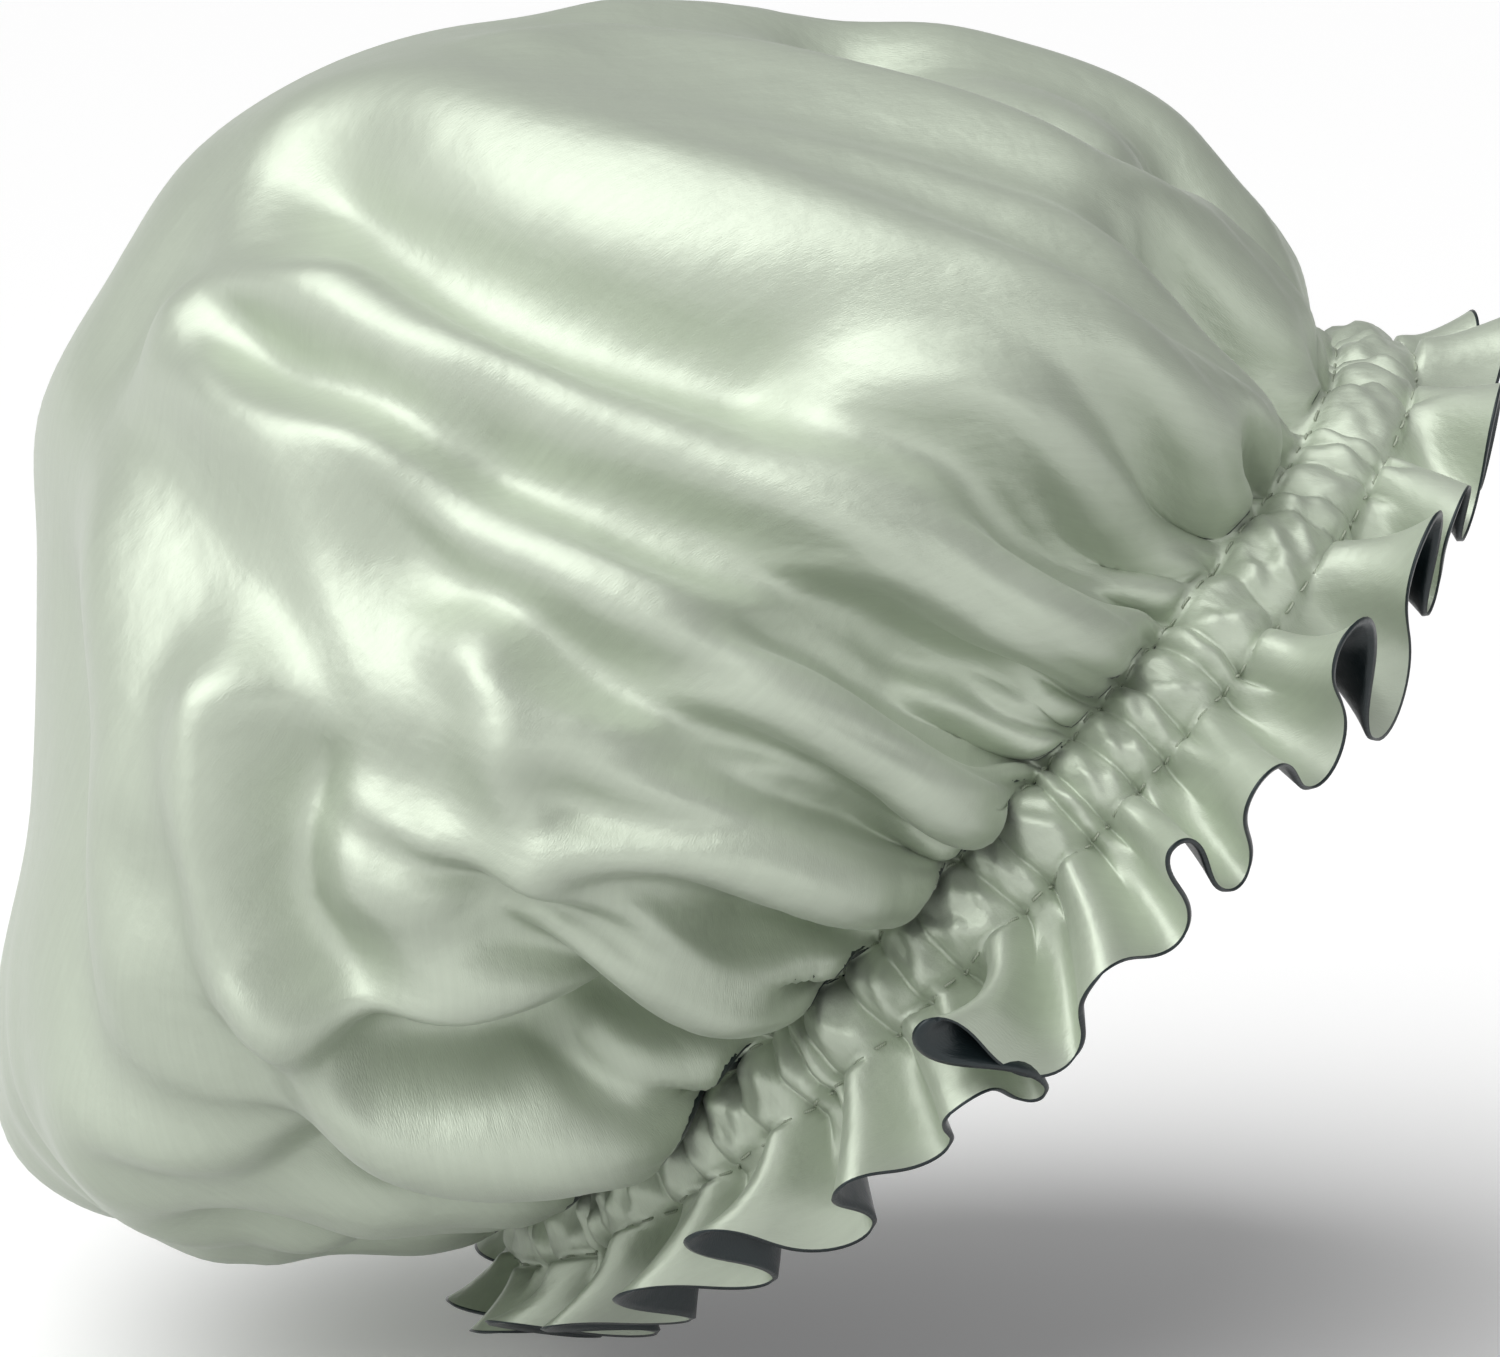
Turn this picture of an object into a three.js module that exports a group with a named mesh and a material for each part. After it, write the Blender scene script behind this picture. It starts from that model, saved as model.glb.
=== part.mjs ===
// Hair bonnet: two circles of satin sewn back to back, gathered on an elastic run in a stitched casing,
// with a fluted ruffle past the casing. Shown in the shape it has on a head in profile that faces +X.
// Millimetres, +Z up. The origin is the middle of the head opening, in the plane of the crown-side stitches.
import * as THREE from "three";

// Driving dimensions of the bonnet as it is worn.
const openingRadius = 110; // of the gathered ring that goes round the head
const crownDepth = 185; // from the plane of the opening to the farthest cloth of the bag
const crownFrontReach = 120; // from the opening's axis to the forehead side of the bag
const crownBackReach = 168; // from the opening's axis to the nape side, where the bag sags
const crownHalfWidth = 133; // from the opening's axis to either side of the bag
const casingHeight = 15; // between the two rows of stitches
const ruffleLength = 22; // from the lower row of stitches to the hem

// Cloth, thread and elastic.
const satinThickness = 0.7;
const layerGap = 0.4; // between the two satins where they hang together
const elasticThickness = 0.6;
const elasticWidth = 10;
const elasticLapGap = 0.4; // between the two lapped ends of the elastic
const threadRadius = 0.2;
const stitchReach = 1.1; // how far a stitch stands off the middle of the cloth on either face
const stitchSlit = 1.1; // the slit in the cloth that a row of stitches runs through
const hemThreadGap = 0.35; // from the cloth's edge to the thread of the hem seam
const joinZigzag = 5; // width of the zigzag that closes the elastic into a ring
const joinThreadGap = 0.35; // from the elastic's face to that zigzag

// Gathers, puckers and flutes.
const gatherHeight = 3.4; // of the pleats that leave the stitches for the crown
const puckerRise = 3.6; // of the casing over the elastic, in its furrows
const puckerHeight = 2.4; // of its puckers over its furrows
const foldHalfWidth = 12; // of what a main fold of the crown spans
const foldHeight = 10; // of the highest main folds

// Angles in degrees and counts.
const openingTilt = 46; // of the opening's plane from level, low at the nape
const casingFlares = { forehead: 38, side: 20, nape: 56 }; // of the casing from the opening's axis
const ruffleFlares = { forehead: 40, side: 16, nape: 76 }; // of the ruffle from the same axis
const elasticLapAngle = 8; // that the two ends of the elastic lap by
const elasticJoinAngle = 90; // where they lap, from the forehead
const turningGapMiddle = 100; // of the hem left open to turn the bonnet through, then sewn shut
const turningGapAngle = 32; // that this gap spans
const hemSeamStopAngle = 2; // between the hem seam and the turning gap's own stitches
const elasticSteps = 96;
const joinZigs = 9;
const threadSides = 3;
const columnsPerFlute = 6;
const foldPathSteps = 24;
const flutePathSteps = 240;

// Where the crest of each flute stands round the opening, in degrees from the forehead. Minus is the side
// that faces -Y.
const fluteCrests = [
  -176, -162, -149, -137, -127, -117, -108, -100, -91, -83, -75, -66, -56, -44, -31, -17, -3, 12,
  27, 42, 57, 72, 87, 102, 117, 132, 149, 167,
];
const fluteCount = fluteCrests.length;

// Bag outline on the plane of symmetry. Each row: share of the cloth's way from the stitches to the pole,
// then the place as shares of the opening's radius, of the reach and of the depth.
const frontOutlineShares = [
  [0, 1, 0, 0],
  [0.1, 0, 0.972, 0.143],
  [0.2, 0, 1.025, 0.295],
  [0.32, 0, 0.901, 0.46],
  [0.46, 0, 0.72, 0.63],
  [0.6, 0, 0.512, 0.785],
  [0.71, 0, 0.317, 0.893],
  [0.84, 0, 0.045, 0.979],
  [0.9, 0, -0.09, 0.998],
  [1, 0, -0.309, 0.968],
];
const backOutlineShares = [
  [0, 1, 0, 0],
  [0.06, 0, 0.732, 0.046],
  [0.13, 0, 0.822, 0.085],
  [0.22, 0, 0.922, 0.177],
  [0.33, 0, 1.02, 0.328],
  [0.41, 0, 1.006, 0.462],
  [0.49, 0, 0.909, 0.534],
  [0.61, 0, 0.735, 0.635],
  [0.7, 0, 0.632, 0.716],
  [0.81, 0, 0.499, 0.828],
  [0.91, 0, 0.374, 0.931],
  [1, 0, 0.222, 0.968],
];
const sideOutlineShares = [
  [0, 1, 0],
  [0.1, 0, 0.914],
  [0.25, 0, 1],
  [0.4, 0, 0.971],
  [0.55, 0, 0.843],
  [0.7, 0, 0.643],
  [0.85, 0, 0.357],
  [1, 0, 0],
];

// Main folds of the crown. Each row: half of what the fold spans, as a share of foldHalfWidth, its rise and
// its tip's way sideways, as shares of foldHeight, a sink being minus, and then its path, from point to point
// as [degrees from the forehead, share of the way to the pole].
const crownFoldShares = [
  [1, 0.6, 0.2, [[-25, 0.02], [-28, 0.2], [-27, 0.32], [-24, 0.5], [-22, 0.66]]],
  [1, -0.5, 0, [[-18, 0.15], [-22, 0.26], [-20, 0.41]]],
  [1.08, 0.9, -0.2, [[-40, 0.02], [-45, 0.17], [-46, 0.33], [-43, 0.5], [-42, 0.63], [-43, 0.74]]],
  [1.17, -0.7, 0, [[-59, 0.26], [-58, 0.38], [-58, 0.5], [-56, 0.62], [-52, 0.7]]],
  [0.92, 1, -0.4, [[-66, 0.02], [-69, 0.18], [-68, 0.34], [-68, 0.5], [-68, 0.64]]],
  [1, -0.6, 0, [[-74, 0.16], [-73, 0.3], [-73, 0.42], [-74, 0.5]]],
  [1, 0.6, 0, [[-68, 0.64], [-73, 0.69], [-79, 0.76], [-86, 0.79]]],
  [1, 1, -0.3, [[-87, 0.79], [-88, 0.72], [-85, 0.63], [-78, 0.5], [-77, 0.38], [-80, 0.22], [-81, 0.02]]],
  [1, 0.8, 0, [[-86, 0.39], [-88, 0.31], [-89, 0.2], [-87, 0.04]]],
  [1, 0.6, 0, [[-86, 0.39], [-90, 0.34], [-95, 0.29]]],
  [1, 0.8, 0.2, [[-100, 0.28], [-96, 0.24], [-94, 0.14], [-94, 0.02]]],
  [0.92, 0.7, -0.2, [[-100, 0.28], [-104, 0.2], [-104, 0.1], [-106, 0.02]]],
  [1, 0.4, 0, [[-106, 0.38], [-106, 0.24], [-108, 0.1]]],
  [1, 0.9, 0.2, [[-103, 0.5], [-109, 0.44], [-115, 0.37], [-121, 0.28], [-123, 0.18], [-120, 0.03]]],
  [1, 0.5, 0, [[-120, 0.29], [-113, 0.22], [-106, 0.15]]],
  [1, 0.6, 0, [[-132, 0.18], [-144, 0.2], [-152, 0.28], [-148, 0.36], [-138, 0.4]]],
  [1.33, 0.7, 0, [[-117, 0.62], [-118, 0.48], [-121, 0.36]]],
  [1, 0.5, 0, [[14, 0.03], [14, 0.2], [12, 0.4], [8, 0.6]]],
  [1, 0.9, 0.3, [[31, 0.02], [34, 0.2], [34, 0.42], [30, 0.6]]],
  [0.92, -0.6, 0, [[44, 0.16], [46, 0.34], [47, 0.52]]],
  [1, 1, 0.3, [[54, 0.02], [57, 0.2], [59, 0.42], [62, 0.62]]],
  [0.92, 0.9, 0.3, [[73, 0.02], [75, 0.2], [74, 0.38], [80, 0.58]]],
  [1, 0.8, 0, [[88, 0.02], [90, 0.16], [89, 0.32], [85, 0.44]]],
  [1, 0.8, -0.2, [[101, 0.02], [104, 0.18], [103, 0.34], [111, 0.52]]],
  [1, 0.9, 0, [[119, 0.03], [122, 0.2], [118, 0.36], [114, 0.5], [109, 0.64]]],
  [0.92, 0.7, 0, [[135, 0.04], [139, 0.2], [146, 0.36]]],
  [1.08, 0.6, 0, [[153, 0.04], [157, 0.2], [158, 0.38], [150, 0.54]]],
  [1, 0.5, 0, [[173, 0.08], [176, 0.18], [178, 0.34]]],
  [0.92, 0.5, 0, [[-168, 0.08], [-170, 0.2], [-172, 0.38]]],
];

// Rings of the crown, as shares of the way to the pole, the share past which every other column ends,
// and the span of the gathers that leave the stitches.
const crownRingShares = [0, 0.05, 0.13, 0.22, 0.33, 0.45, 0.58, 0.73, 0.88];
const crownThinningShare = 0.7;
const gatherPeakShare = 0.05;
const gatherSpanShare = 0.09;
// Rings of the ruffle, as shares of its length, and how far the satin's path swings from the ring's there.
const ruffleRingShares = [0, 0.4, 1];
const ruffleSwings = [22, 64, 82];
const napeSwingShare = 0.6; // of those swings, at the nape
const foreheadSwingShare = 0.8; // and at the forehead

const DEG = Math.PI / 180;
const TURN = 2 * Math.PI;
const LAYERS = {
  outer: [layerGap / 2 + satinThickness, layerGap / 2],
  lining: [-layerGap / 2, -layerGap / 2 - satinThickness],
};

// The value of a table of rows [x, a, b, ...] at x, on a smooth curve through its rows.
function smoothRow(table, x) {
  const last = table.length - 1;
  let i = 0;
  while (i < last - 1 && table[i + 1][0] <= x) i++;
  const row = (k) => table[Math.min(last, Math.max(0, k))];
  const [before, from, to, after] = [row(i - 1), row(i), row(i + 1), row(i + 2)];
  const step = to[0] - from[0];
  const s = (x - from[0]) / step;
  return from.slice(1).map((a, c) => {
    const b = to[c + 1];
    const slopeFrom = ((b - before[c + 1]) / (to[0] - before[0])) * step;
    const slopeTo = ((after[c + 1] - a) / (after[0] - from[0])) * step;
    const s2 = s * s;
    const s3 = s2 * s;
    const ease = 3 * s2 - 2 * s3;
    return (1 - ease) * a + ease * b + (s3 - 2 * s2 + s) * slopeFrom + (s3 - s2) * slopeTo;
  });
}

// A point of the smooth bag, before its folds: an ellipse at each share of the cloth's way to the pole.
function bagPoint(angle, share) {
  const [frontRim, frontReach, frontRise] = smoothRow(frontOutlineShares, share);
  const [backRim, backReach, backRise] = smoothRow(backOutlineShares, share);
  const [sideRim, sideReach] = smoothRow(sideOutlineShares, share);
  const front = frontRim * openingRadius + frontReach * crownFrontReach;
  const back = -(backRim * openingRadius + backReach * crownBackReach);
  const halfWidth = sideRim * openingRadius + sideReach * crownHalfWidth;
  const c = Math.cos(angle);
  return new THREE.Vector3(
    (front + back) / 2 + ((front - back) / 2) * c,
    halfWidth * Math.sin(angle),
    ((frontRise + backRise) / 2 + ((frontRise - backRise) / 2) * c) * crownDepth,
  );
}

// The bag's outward normal at a point, from two short steps on it.
function bagNormal(angle, share) {
  const step = 0.004;
  const low = Math.max(0, share - step);
  const high = Math.min(1 - step, share + step);
  const along = bagPoint(angle, high).sub(bagPoint(angle, low));
  const level = Math.min(share, high);
  const around = bagPoint(angle + step, level).sub(bagPoint(angle - step, level));
  return around.cross(along).normalize();
}

// The angle round the opening at a flute number: whole numbers are crests.
function fluteAngle(number) {
  const wrapped = ((number % fluteCount) + fluteCount) % fluteCount;
  const turns = Math.floor(number / fluteCount);
  const k = Math.floor(wrapped);
  const next = k + 1 < fluteCount ? fluteCrests[k + 1] : fluteCrests[0] + 360;
  return (fluteCrests[k] + (next - fluteCrests[k]) * (wrapped - k)) * DEG + turns * TURN;
}

// Each fold in real sizes, its path as points on the smooth bag, with the bag's normal at each.
const crownFolds = crownFoldShares.map(([widthShare, heightShare, leanShare, places]) => {
  const rows = places.map(([angle, share], i) => [i / (places.length - 1), angle * DEG, share]);
  const path = Array.from({ length: foldPathSteps + 1 }, (_, i) => {
    const [angle, share] = smoothRow(rows, i / foldPathSteps);
    return { at: bagPoint(angle, share), normal: bagNormal(angle, share) };
  });
  return {
    width: widthShare * foldHalfWidth,
    height: heightShare * foldHeight,
    lean: leanShare * foldHeight,
    path,
  };
});

// How the folds move a point of the bag: up its normal, and sideways by each fold's lean. A fold's height
// falls off as a bell with the distance from its path, so its ends are round.
function foldShift(point, normal) {
  const shift = new THREE.Vector3();
  crownFolds.forEach(({ width, height, lean, path }) => {
    let nearest = Infinity;
    let k = 0;
    path.forEach(({ at }, i) => {
      const d = at.distanceTo(point);
      if (d < nearest) {
        nearest = d;
        k = i;
      }
    });
    const bell = Math.exp(-((nearest / width) ** 2));
    const along = path[Math.min(k + 1, foldPathSteps)].at.clone().sub(path[Math.max(k - 1, 0)].at);
    const sideways = new THREE.Vector3().crossVectors(path[k].normal, along).normalize();
    shift.addScaledVector(normal, height * bell);
    shift.addScaledVector(sideways, lean * bell);
  });
  return shift;
}

// The middle surface of a piece of cloth: rings of points from the hem side up, joined by triangles.
// A ring may have half as many points as the one before it, and a pole may close the last ring.
function clothSurface(rings, pole) {
  const points = rings.flat();
  const faces = [];
  let start = 0;
  rings.forEach((ring, r) => {
    const n = ring.length;
    const next = rings[r + 1];
    const nextStart = start + n;
    for (let i = 0; next && i < next.length; i++) {
      const c = nextStart + ((i + 1) % next.length);
      const d = nextStart + i;
      if (next.length === n) {
        const a = start + i;
        const b = start + ((i + 1) % n);
        faces.push([a, b, c], [a, c, d]);
      } else {
        const [a, b, e] = [2 * i, 2 * i + 1, (2 * i + 2) % n].map((k) => start + k);
        faces.push([a, b, d], [b, c, d], [b, e, c]);
      }
    }
    if (!next && pole) {
      ring.forEach((_, i) => faces.push([start + i, start + ((i + 1) % n), nextStart]));
    }
    start = nextStart;
  });
  if (pole) points.push(pole);
  return { points, faces };
}

// Normals of a surface at its points, averaged over the faces by area. A point with a normal of its own
// keeps it.
function surfaceNormals({ points, faces }, fixed = []) {
  const normals = points.map(() => new THREE.Vector3());
  faces.forEach(([a, b, c]) => {
    const n = points[b].clone().sub(points[a]).cross(points[c].clone().sub(points[a]));
    [a, b, c].forEach((i) => normals[i].add(n));
  });
  return normals.map((n, i) => fixed[i] || n.normalize());
}

// A closed solid between two copies of a surface, moved along its normals to outward and to inward.
function thickCloth(surface, outward, inward, fixedNormals) {
  const normals = surfaceNormals(surface, fixedNormals);
  const n = surface.points.length;
  const copy = (offset) => surface.points.map((p, i) => p.clone().addScaledVector(normals[i], offset));
  const positions = [...copy(outward), ...copy(inward)].flatMap((p) => [p.x, p.y, p.z]);
  const edges = new Set(surface.faces.flatMap(([a, b, c]) => [`${a} ${b}`, `${b} ${c}`, `${c} ${a}`]));
  const index = surface.faces.flatMap(([a, b, c]) => [a, b, c, a + n, c + n, b + n]);
  edges.forEach((edge) => {
    const [u, v] = edge.split(" ").map(Number);
    if (!edges.has(`${v} ${u}`)) index.push(v, u, u + n, v, u + n, v + n);
  });
  return indexedGeometry(positions, index);
}

function indexedGeometry(positions, index) {
  const geometry = new THREE.BufferGeometry();
  geometry.setAttribute("position", new THREE.Float32BufferAttribute(positions, 3));
  geometry.setIndex(index);
  geometry.computeVertexNormals();
  return geometry;
}

// A bar swept along points: a closed ring, or a length with flat ends. section gives [across, up] places,
// anticlockwise as seen by one who looks back along the bar.
function sweptBar(points, section, closed) {
  const n = points.length;
  const m = section.length;
  const axis = new THREE.Vector3(0, 0, 1);
  const positions = points.flatMap((p, i) => {
    const ahead = points[closed ? (i + 1) % n : Math.min(i + 1, n - 1)];
    const behind = points[closed ? (i + n - 1) % n : Math.max(i - 1, 0)];
    const along = ahead.clone().sub(behind).normalize();
    const across = new THREE.Vector3().crossVectors(along, axis).normalize();
    const up = new THREE.Vector3().crossVectors(across, along);
    return section.flatMap(([a, u]) => p.clone().addScaledVector(across, a).addScaledVector(up, u).toArray());
  });
  const index = [];
  for (let i = 0; i < (closed ? n : n - 1); i++) {
    for (let j = 0; j < m; j++) {
      const a = i * m + j;
      const b = i * m + ((j + 1) % m);
      const c = ((i + 1) % n) * m + ((j + 1) % m);
      const d = ((i + 1) % n) * m + j;
      index.push(a, b, c, a, c, d);
    }
  }
  for (let j = 1; !closed && j < m - 1; j++) {
    index.push(0, j + 1, j);
    index.push((n - 1) * m, (n - 1) * m + j, (n - 1) * m + j + 1);
  }
  return indexedGeometry(positions, index);
}

function roundSection(radius, sides) {
  return Array.from({ length: sides }, (_, i) => {
    const a = (-i / sides) * TURN;
    return [radius * Math.cos(a), radius * Math.sin(a)];
  });
}

// A point of the gathered ring's own section: a radius from the axis and a height, at an angle.
function ringPoint(angle, radius, height) {
  return new THREE.Vector3(radius * Math.cos(angle), radius * Math.sin(angle), height);
}

function radial(angle) {
  return new THREE.Vector3(Math.cos(angle), Math.sin(angle), 0);
}

// How much of the nape, or of the forehead, a place round the opening has: 1 there, and next to nothing past
// the sides. The forehead's part is the narrow one.
function napeShare(angle) {
  return ((1 - Math.cos(angle)) / 2) ** 3;
}

function foreheadShare(angle) {
  return ((1 + Math.cos(angle)) / 2) ** 12;
}

// The direction of the casing or the ruffle at an angle: how far it goes out and down for each length of it.
// Its outward normal goes out by down and up by out.
function slopeAt(angle, flares) {
  const toForehead = (flares.forehead - flares.side) * foreheadShare(angle);
  const toNape = (flares.nape - flares.side) * napeShare(angle);
  const flare = (flares.side + toForehead + toNape) * DEG;
  return { out: Math.sin(flare), down: Math.cos(flare) };
}

// A point at a length down the casing from the crown-side stitches, and a rise off it.
function casingPlace(angle, length, rise) {
  const { out, down } = slopeAt(angle, casingFlares);
  return { radius: openingRadius + length * out + rise * down, height: -length * down + rise * out };
}

// The crown: the bag with its folds, and with gathers that rise from the stitches and die away above them.
function crownSurface() {
  const columns = 2 * fluteCount;
  const lift = stitchSlit / 2;
  const place = (column, share) => {
    const angle = fluteAngle(column / 2);
    const point = bagPoint(angle, share);
    const normal = bagNormal(angle, share);
    const swell = (share / gatherPeakShare) * Math.exp(1 - share / gatherPeakShare);
    const gather = share > 0 ? gatherHeight * swell * Math.exp(-((share / gatherSpanShare) ** 2) / 2) : 0;
    const loose = 1 - Math.exp(-share / gatherPeakShare);
    point.addScaledVector(foldShift(point, normal), loose);
    point.addScaledVector(normal, column % 2 ? -gather : gather);
    point.z += lift;
    return point;
  };
  const rings = crownRingShares.map((share) => {
    const step = share > crownThinningShare ? 2 : 1;
    return Array.from({ length: columns / step }, (_, i) => place(i * step, share));
  });
  const rim = Array.from({ length: columns }, (_, i) => radial(fluteAngle(i / 2)));
  const pole = bagPoint(0, 1);
  pole.z += lift;
  return { surface: clothSurface(rings, pole), rim };
}

// One layer of the casing, from the lower stitches up: it closes on the other layer at both rows and
// stands off the elastic between them, side 1 outwards and side -1 inwards.
function casingSurface(side) {
  const columns = 2 * fluteCount;
  const ring = (share, trim) =>
    Array.from({ length: columns }, (_, i) => {
      const angle = fluteAngle(i / 2);
      const rise = share > 0 && share < 1 ? side * (puckerRise + (i % 2 ? 0 : puckerHeight)) : 0;
      const { radius, height } = casingPlace(angle, share * casingHeight, rise);
      return ringPoint(angle, radius, height + trim);
    });
  const rings = [ring(1, stitchSlit / 2), ring(1 / 2, 0), ring(0, -stitchSlit / 2)];
  const rim = rings[0].map((_, i) => radial(fluteAngle(i / 2)));
  const fixed = [...rim, ...rings[1].map(() => undefined), ...rim];
  return { surface: clothSurface(rings), fixed };
}

// One flute of the ruffle as a path whose direction swings by up to swing degrees to either side of the
// ring's own: its way along the ring, and its height over it, both as shares of the flute's own pitch.
function flutePath(swing) {
  const at = [[0, 0]];
  for (let i = 0; i < flutePathSteps; i++) {
    const turn = swing * DEG * Math.sin((TURN * (i + 0.5)) / flutePathSteps);
    at.push([at[i][0] + Math.cos(turn), at[i][1] - Math.sin(turn)]);
  }
  const length = at[flutePathSteps][0];
  const middle = at[flutePathSteps / 2][1] / 2;
  return Array.from({ length: columnsPerFlute }, (_, j) => {
    const [x, y] = at[(j * flutePathSteps) / columnsPerFlute];
    return { along: x / length, over: (y - middle) / length };
  });
}

// A ring of the ruffle at a share of its length, over its slope by the flutes' height.
function ruffleRing(share, swing, drop) {
  return fluteCrests.flatMap((crest, k) => {
    const atNape = (1 - napeSwingShare) * napeShare(crest * DEG);
    const atForehead = (1 - foreheadSwingShare) * foreheadShare(crest * DEG);
    return flutePath(swing * (1 - atNape - atForehead)).map(({ along, over }) => {
      const angle = fluteAngle(k + along);
      const { out, down } = slopeAt(angle, ruffleFlares);
      const row = casingPlace(angle, casingHeight, 0);
      const radius = row.radius + share * ruffleLength * out;
      const rise = over * (fluteAngle(k + 1) - fluteAngle(k)) * radius;
      const lift = share > 0 ? rise * out : 0;
      return ringPoint(angle, radius + rise * down, row.height - share * ruffleLength * down + lift - drop);
    });
  });
}

function ruffleSurface() {
  const rings = ruffleRingShares
    .map((share, i) => ruffleRing(share, ruffleSwings[i], i === 0 ? stitchSlit / 2 : 0))
    .reverse();
  const top = rings[rings.length - 1];
  const fixed = rings.flatMap((ring) =>
    ring.map((p) => (ring === top ? new THREE.Vector3(p.x, p.y, 0).normalize() : undefined)),
  );
  return { surface: clothSurface(rings), fixed };
}

// A row of stitches: one thread that passes out and in through both layers, all the way round its slit.
function stitchRow(length) {
  const count = fluteCount * columnsPerFlute;
  const points = Array.from({ length: count }, (_, i) => {
    const angle = fluteAngle(i / columnsPerFlute);
    const { radius, height } = casingPlace(angle, length, 0);
    return ringPoint(angle, radius + (i % 2 ? -stitchReach : stitchReach), height);
  });
  return sweptBar(points, roundSection(threadRadius, threadSides), true);
}

// The path of the hem seam, just past the cloth's edge, in the groove between the two layers.
function hemPath() {
  const past = (hemThreadGap + threadRadius) / ruffleLength;
  return ruffleRing(1 + past, ruffleSwings[ruffleSwings.length - 1], 0);
}

// The part of the hem's path between two angles, which go round past a half turn as they need.
function hemThread(fromAngle, toAngle) {
  const path = hemPath();
  const n = path.length;
  const numberAt = (degrees) => {
    let k = 0;
    while (k < n && fluteAngle(k / columnsPerFlute) < degrees * DEG) k++;
    return k;
  };
  const from = numberAt(fromAngle);
  const count = numberAt(toAngle) - from + (toAngle < fromAngle ? n : 0);
  const points = Array.from({ length: count }, (_, i) => path[(from + i) % n]);
  return sweptBar(points, roundSection(threadRadius, threadSides), false);
}

// A point of the elastic's loop: midway down the casing, on its slope, a little off the channel's middle.
function elasticPoint(angle, down, off) {
  const { radius, height } = casingPlace(angle, casingHeight / 2 + down, off);
  return ringPoint(angle, radius, height);
}

const elasticLap = elasticLapAngle * DEG;
const elasticLapOff = (elasticThickness + elasticLapGap) / 2;

// The elastic band is a flat strip bent once round, its last end lapped over its first one. It is worked out
// as rings of four corners, so that it lies on the casing's slope.
function elasticBand() {
  const half = elasticWidth / 2;
  const corners = [
    [-half, elasticThickness / 2],
    [-half, -elasticThickness / 2],
    [half, -elasticThickness / 2],
    [half, elasticThickness / 2],
  ];
  const m = corners.length;
  const rows = Array.from({ length: elasticSteps + 1 }, (_, i) => {
    const turn = (i / elasticSteps) * (TURN + elasticLap);
    const inner = Math.max(0, 1 - turn / (2 * elasticLap));
    const outer = Math.max(0, 1 - (TURN + elasticLap - turn) / (2 * elasticLap));
    const off = elasticLapOff * 2 * (Math.min(outer, 1 / 2) - Math.min(inner, 1 / 2));
    return corners.map(([down, out]) => elasticPoint(elasticJoinAngle * DEG + turn, down, off + out));
  });
  const positions = rows.flat().flatMap((p) => p.toArray());
  const index = [];
  for (let i = 0; i < elasticSteps; i++) {
    for (let j = 0; j < m; j++) {
      const a = i * m + j;
      const b = i * m + ((j + 1) % m);
      index.push(a, a + m, b + m, a, b + m, b);
    }
  }
  const end = elasticSteps * m;
  index.push(0, 1, 2, 0, 2, 3, end, end + 2, end + 1, end, end + 3, end + 2);
  return indexedGeometry(positions, index);
}

// The zigzag that sews the elastic's ends together, on the face of the outer end.
function elasticJoinStitch() {
  const off = elasticLapOff + elasticThickness / 2 + joinThreadGap + threadRadius;
  const points = Array.from({ length: joinZigs + 1 }, (_, i) => {
    const angle = elasticJoinAngle * DEG + elasticLap * (1 / 4 + i / joinZigs / 2);
    return elasticPoint(angle, ((i % 2 ? 1 : -1) * joinZigzag) / 2, off);
  });
  return sweptBar(points, roundSection(threadRadius, threadSides), false);
}

const outerSatin = new THREE.MeshStandardMaterial({ color: "#bcc7b3", roughness: 0.32, metalness: 0.15 });
const liningSatin = new THREE.MeshStandardMaterial({ color: "#1b2629", roughness: 0.35, metalness: 0.1 });
const elasticWeb = new THREE.MeshStandardMaterial({ color: "#e9e7e0", roughness: 0.8, metalness: 0 });
const sageThread = new THREE.MeshStandardMaterial({ color: "#aab69f", roughness: 0.6, metalness: 0 });
const darkThread = new THREE.MeshStandardMaterial({ color: "#20292b", roughness: 0.6, metalness: 0 });

function named(name, geometry, material) {
  const mesh = new THREE.Mesh(geometry, material);
  mesh.name = name;
  return mesh;
}

const bonnet = new THREE.Group();
bonnet.rotation.y = -openingTilt * DEG;

const crown = crownSurface();
bonnet.add(named("outer_crown", thickCloth(crown.surface, ...LAYERS.outer, crown.rim), outerSatin));
bonnet.add(named("lining_crown", thickCloth(crown.surface, ...LAYERS.lining, crown.rim), liningSatin));

const outerCasing = casingSurface(1);
const liningCasing = casingSurface(-1);
bonnet.add(
  named("outer_casing_band", thickCloth(outerCasing.surface, ...LAYERS.outer, outerCasing.fixed), outerSatin),
);
bonnet.add(
  named(
    "lining_casing_band",
    thickCloth(liningCasing.surface, ...LAYERS.lining, liningCasing.fixed),
    liningSatin,
  ),
);

const ruffle = ruffleSurface();
bonnet.add(named("outer_ruffle", thickCloth(ruffle.surface, ...LAYERS.outer, ruffle.fixed), outerSatin));
bonnet.add(named("lining_ruffle", thickCloth(ruffle.surface, ...LAYERS.lining, ruffle.fixed), liningSatin));

bonnet.add(named("elastic_band", elasticBand(), elasticWeb));
bonnet.add(named("elastic_join_stitch", elasticJoinStitch(), elasticWeb));
bonnet.add(named("crown_side_stitch_row", stitchRow(0), sageThread));
bonnet.add(named("ruffle_side_stitch_row", stitchRow(casingHeight), sageThread));

const gapStart = turningGapMiddle - turningGapAngle / 2;
const gapEnd = turningGapMiddle + turningGapAngle / 2;
const seamThread = hemThread(gapEnd + hemSeamStopAngle, gapStart - hemSeamStopAngle);
bonnet.add(named("hem_seam_thread", seamThread, darkThread));
bonnet.add(named("turning_gap_stitch", hemThread(gapStart, gapEnd), darkThread));

export default bonnet;
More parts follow.
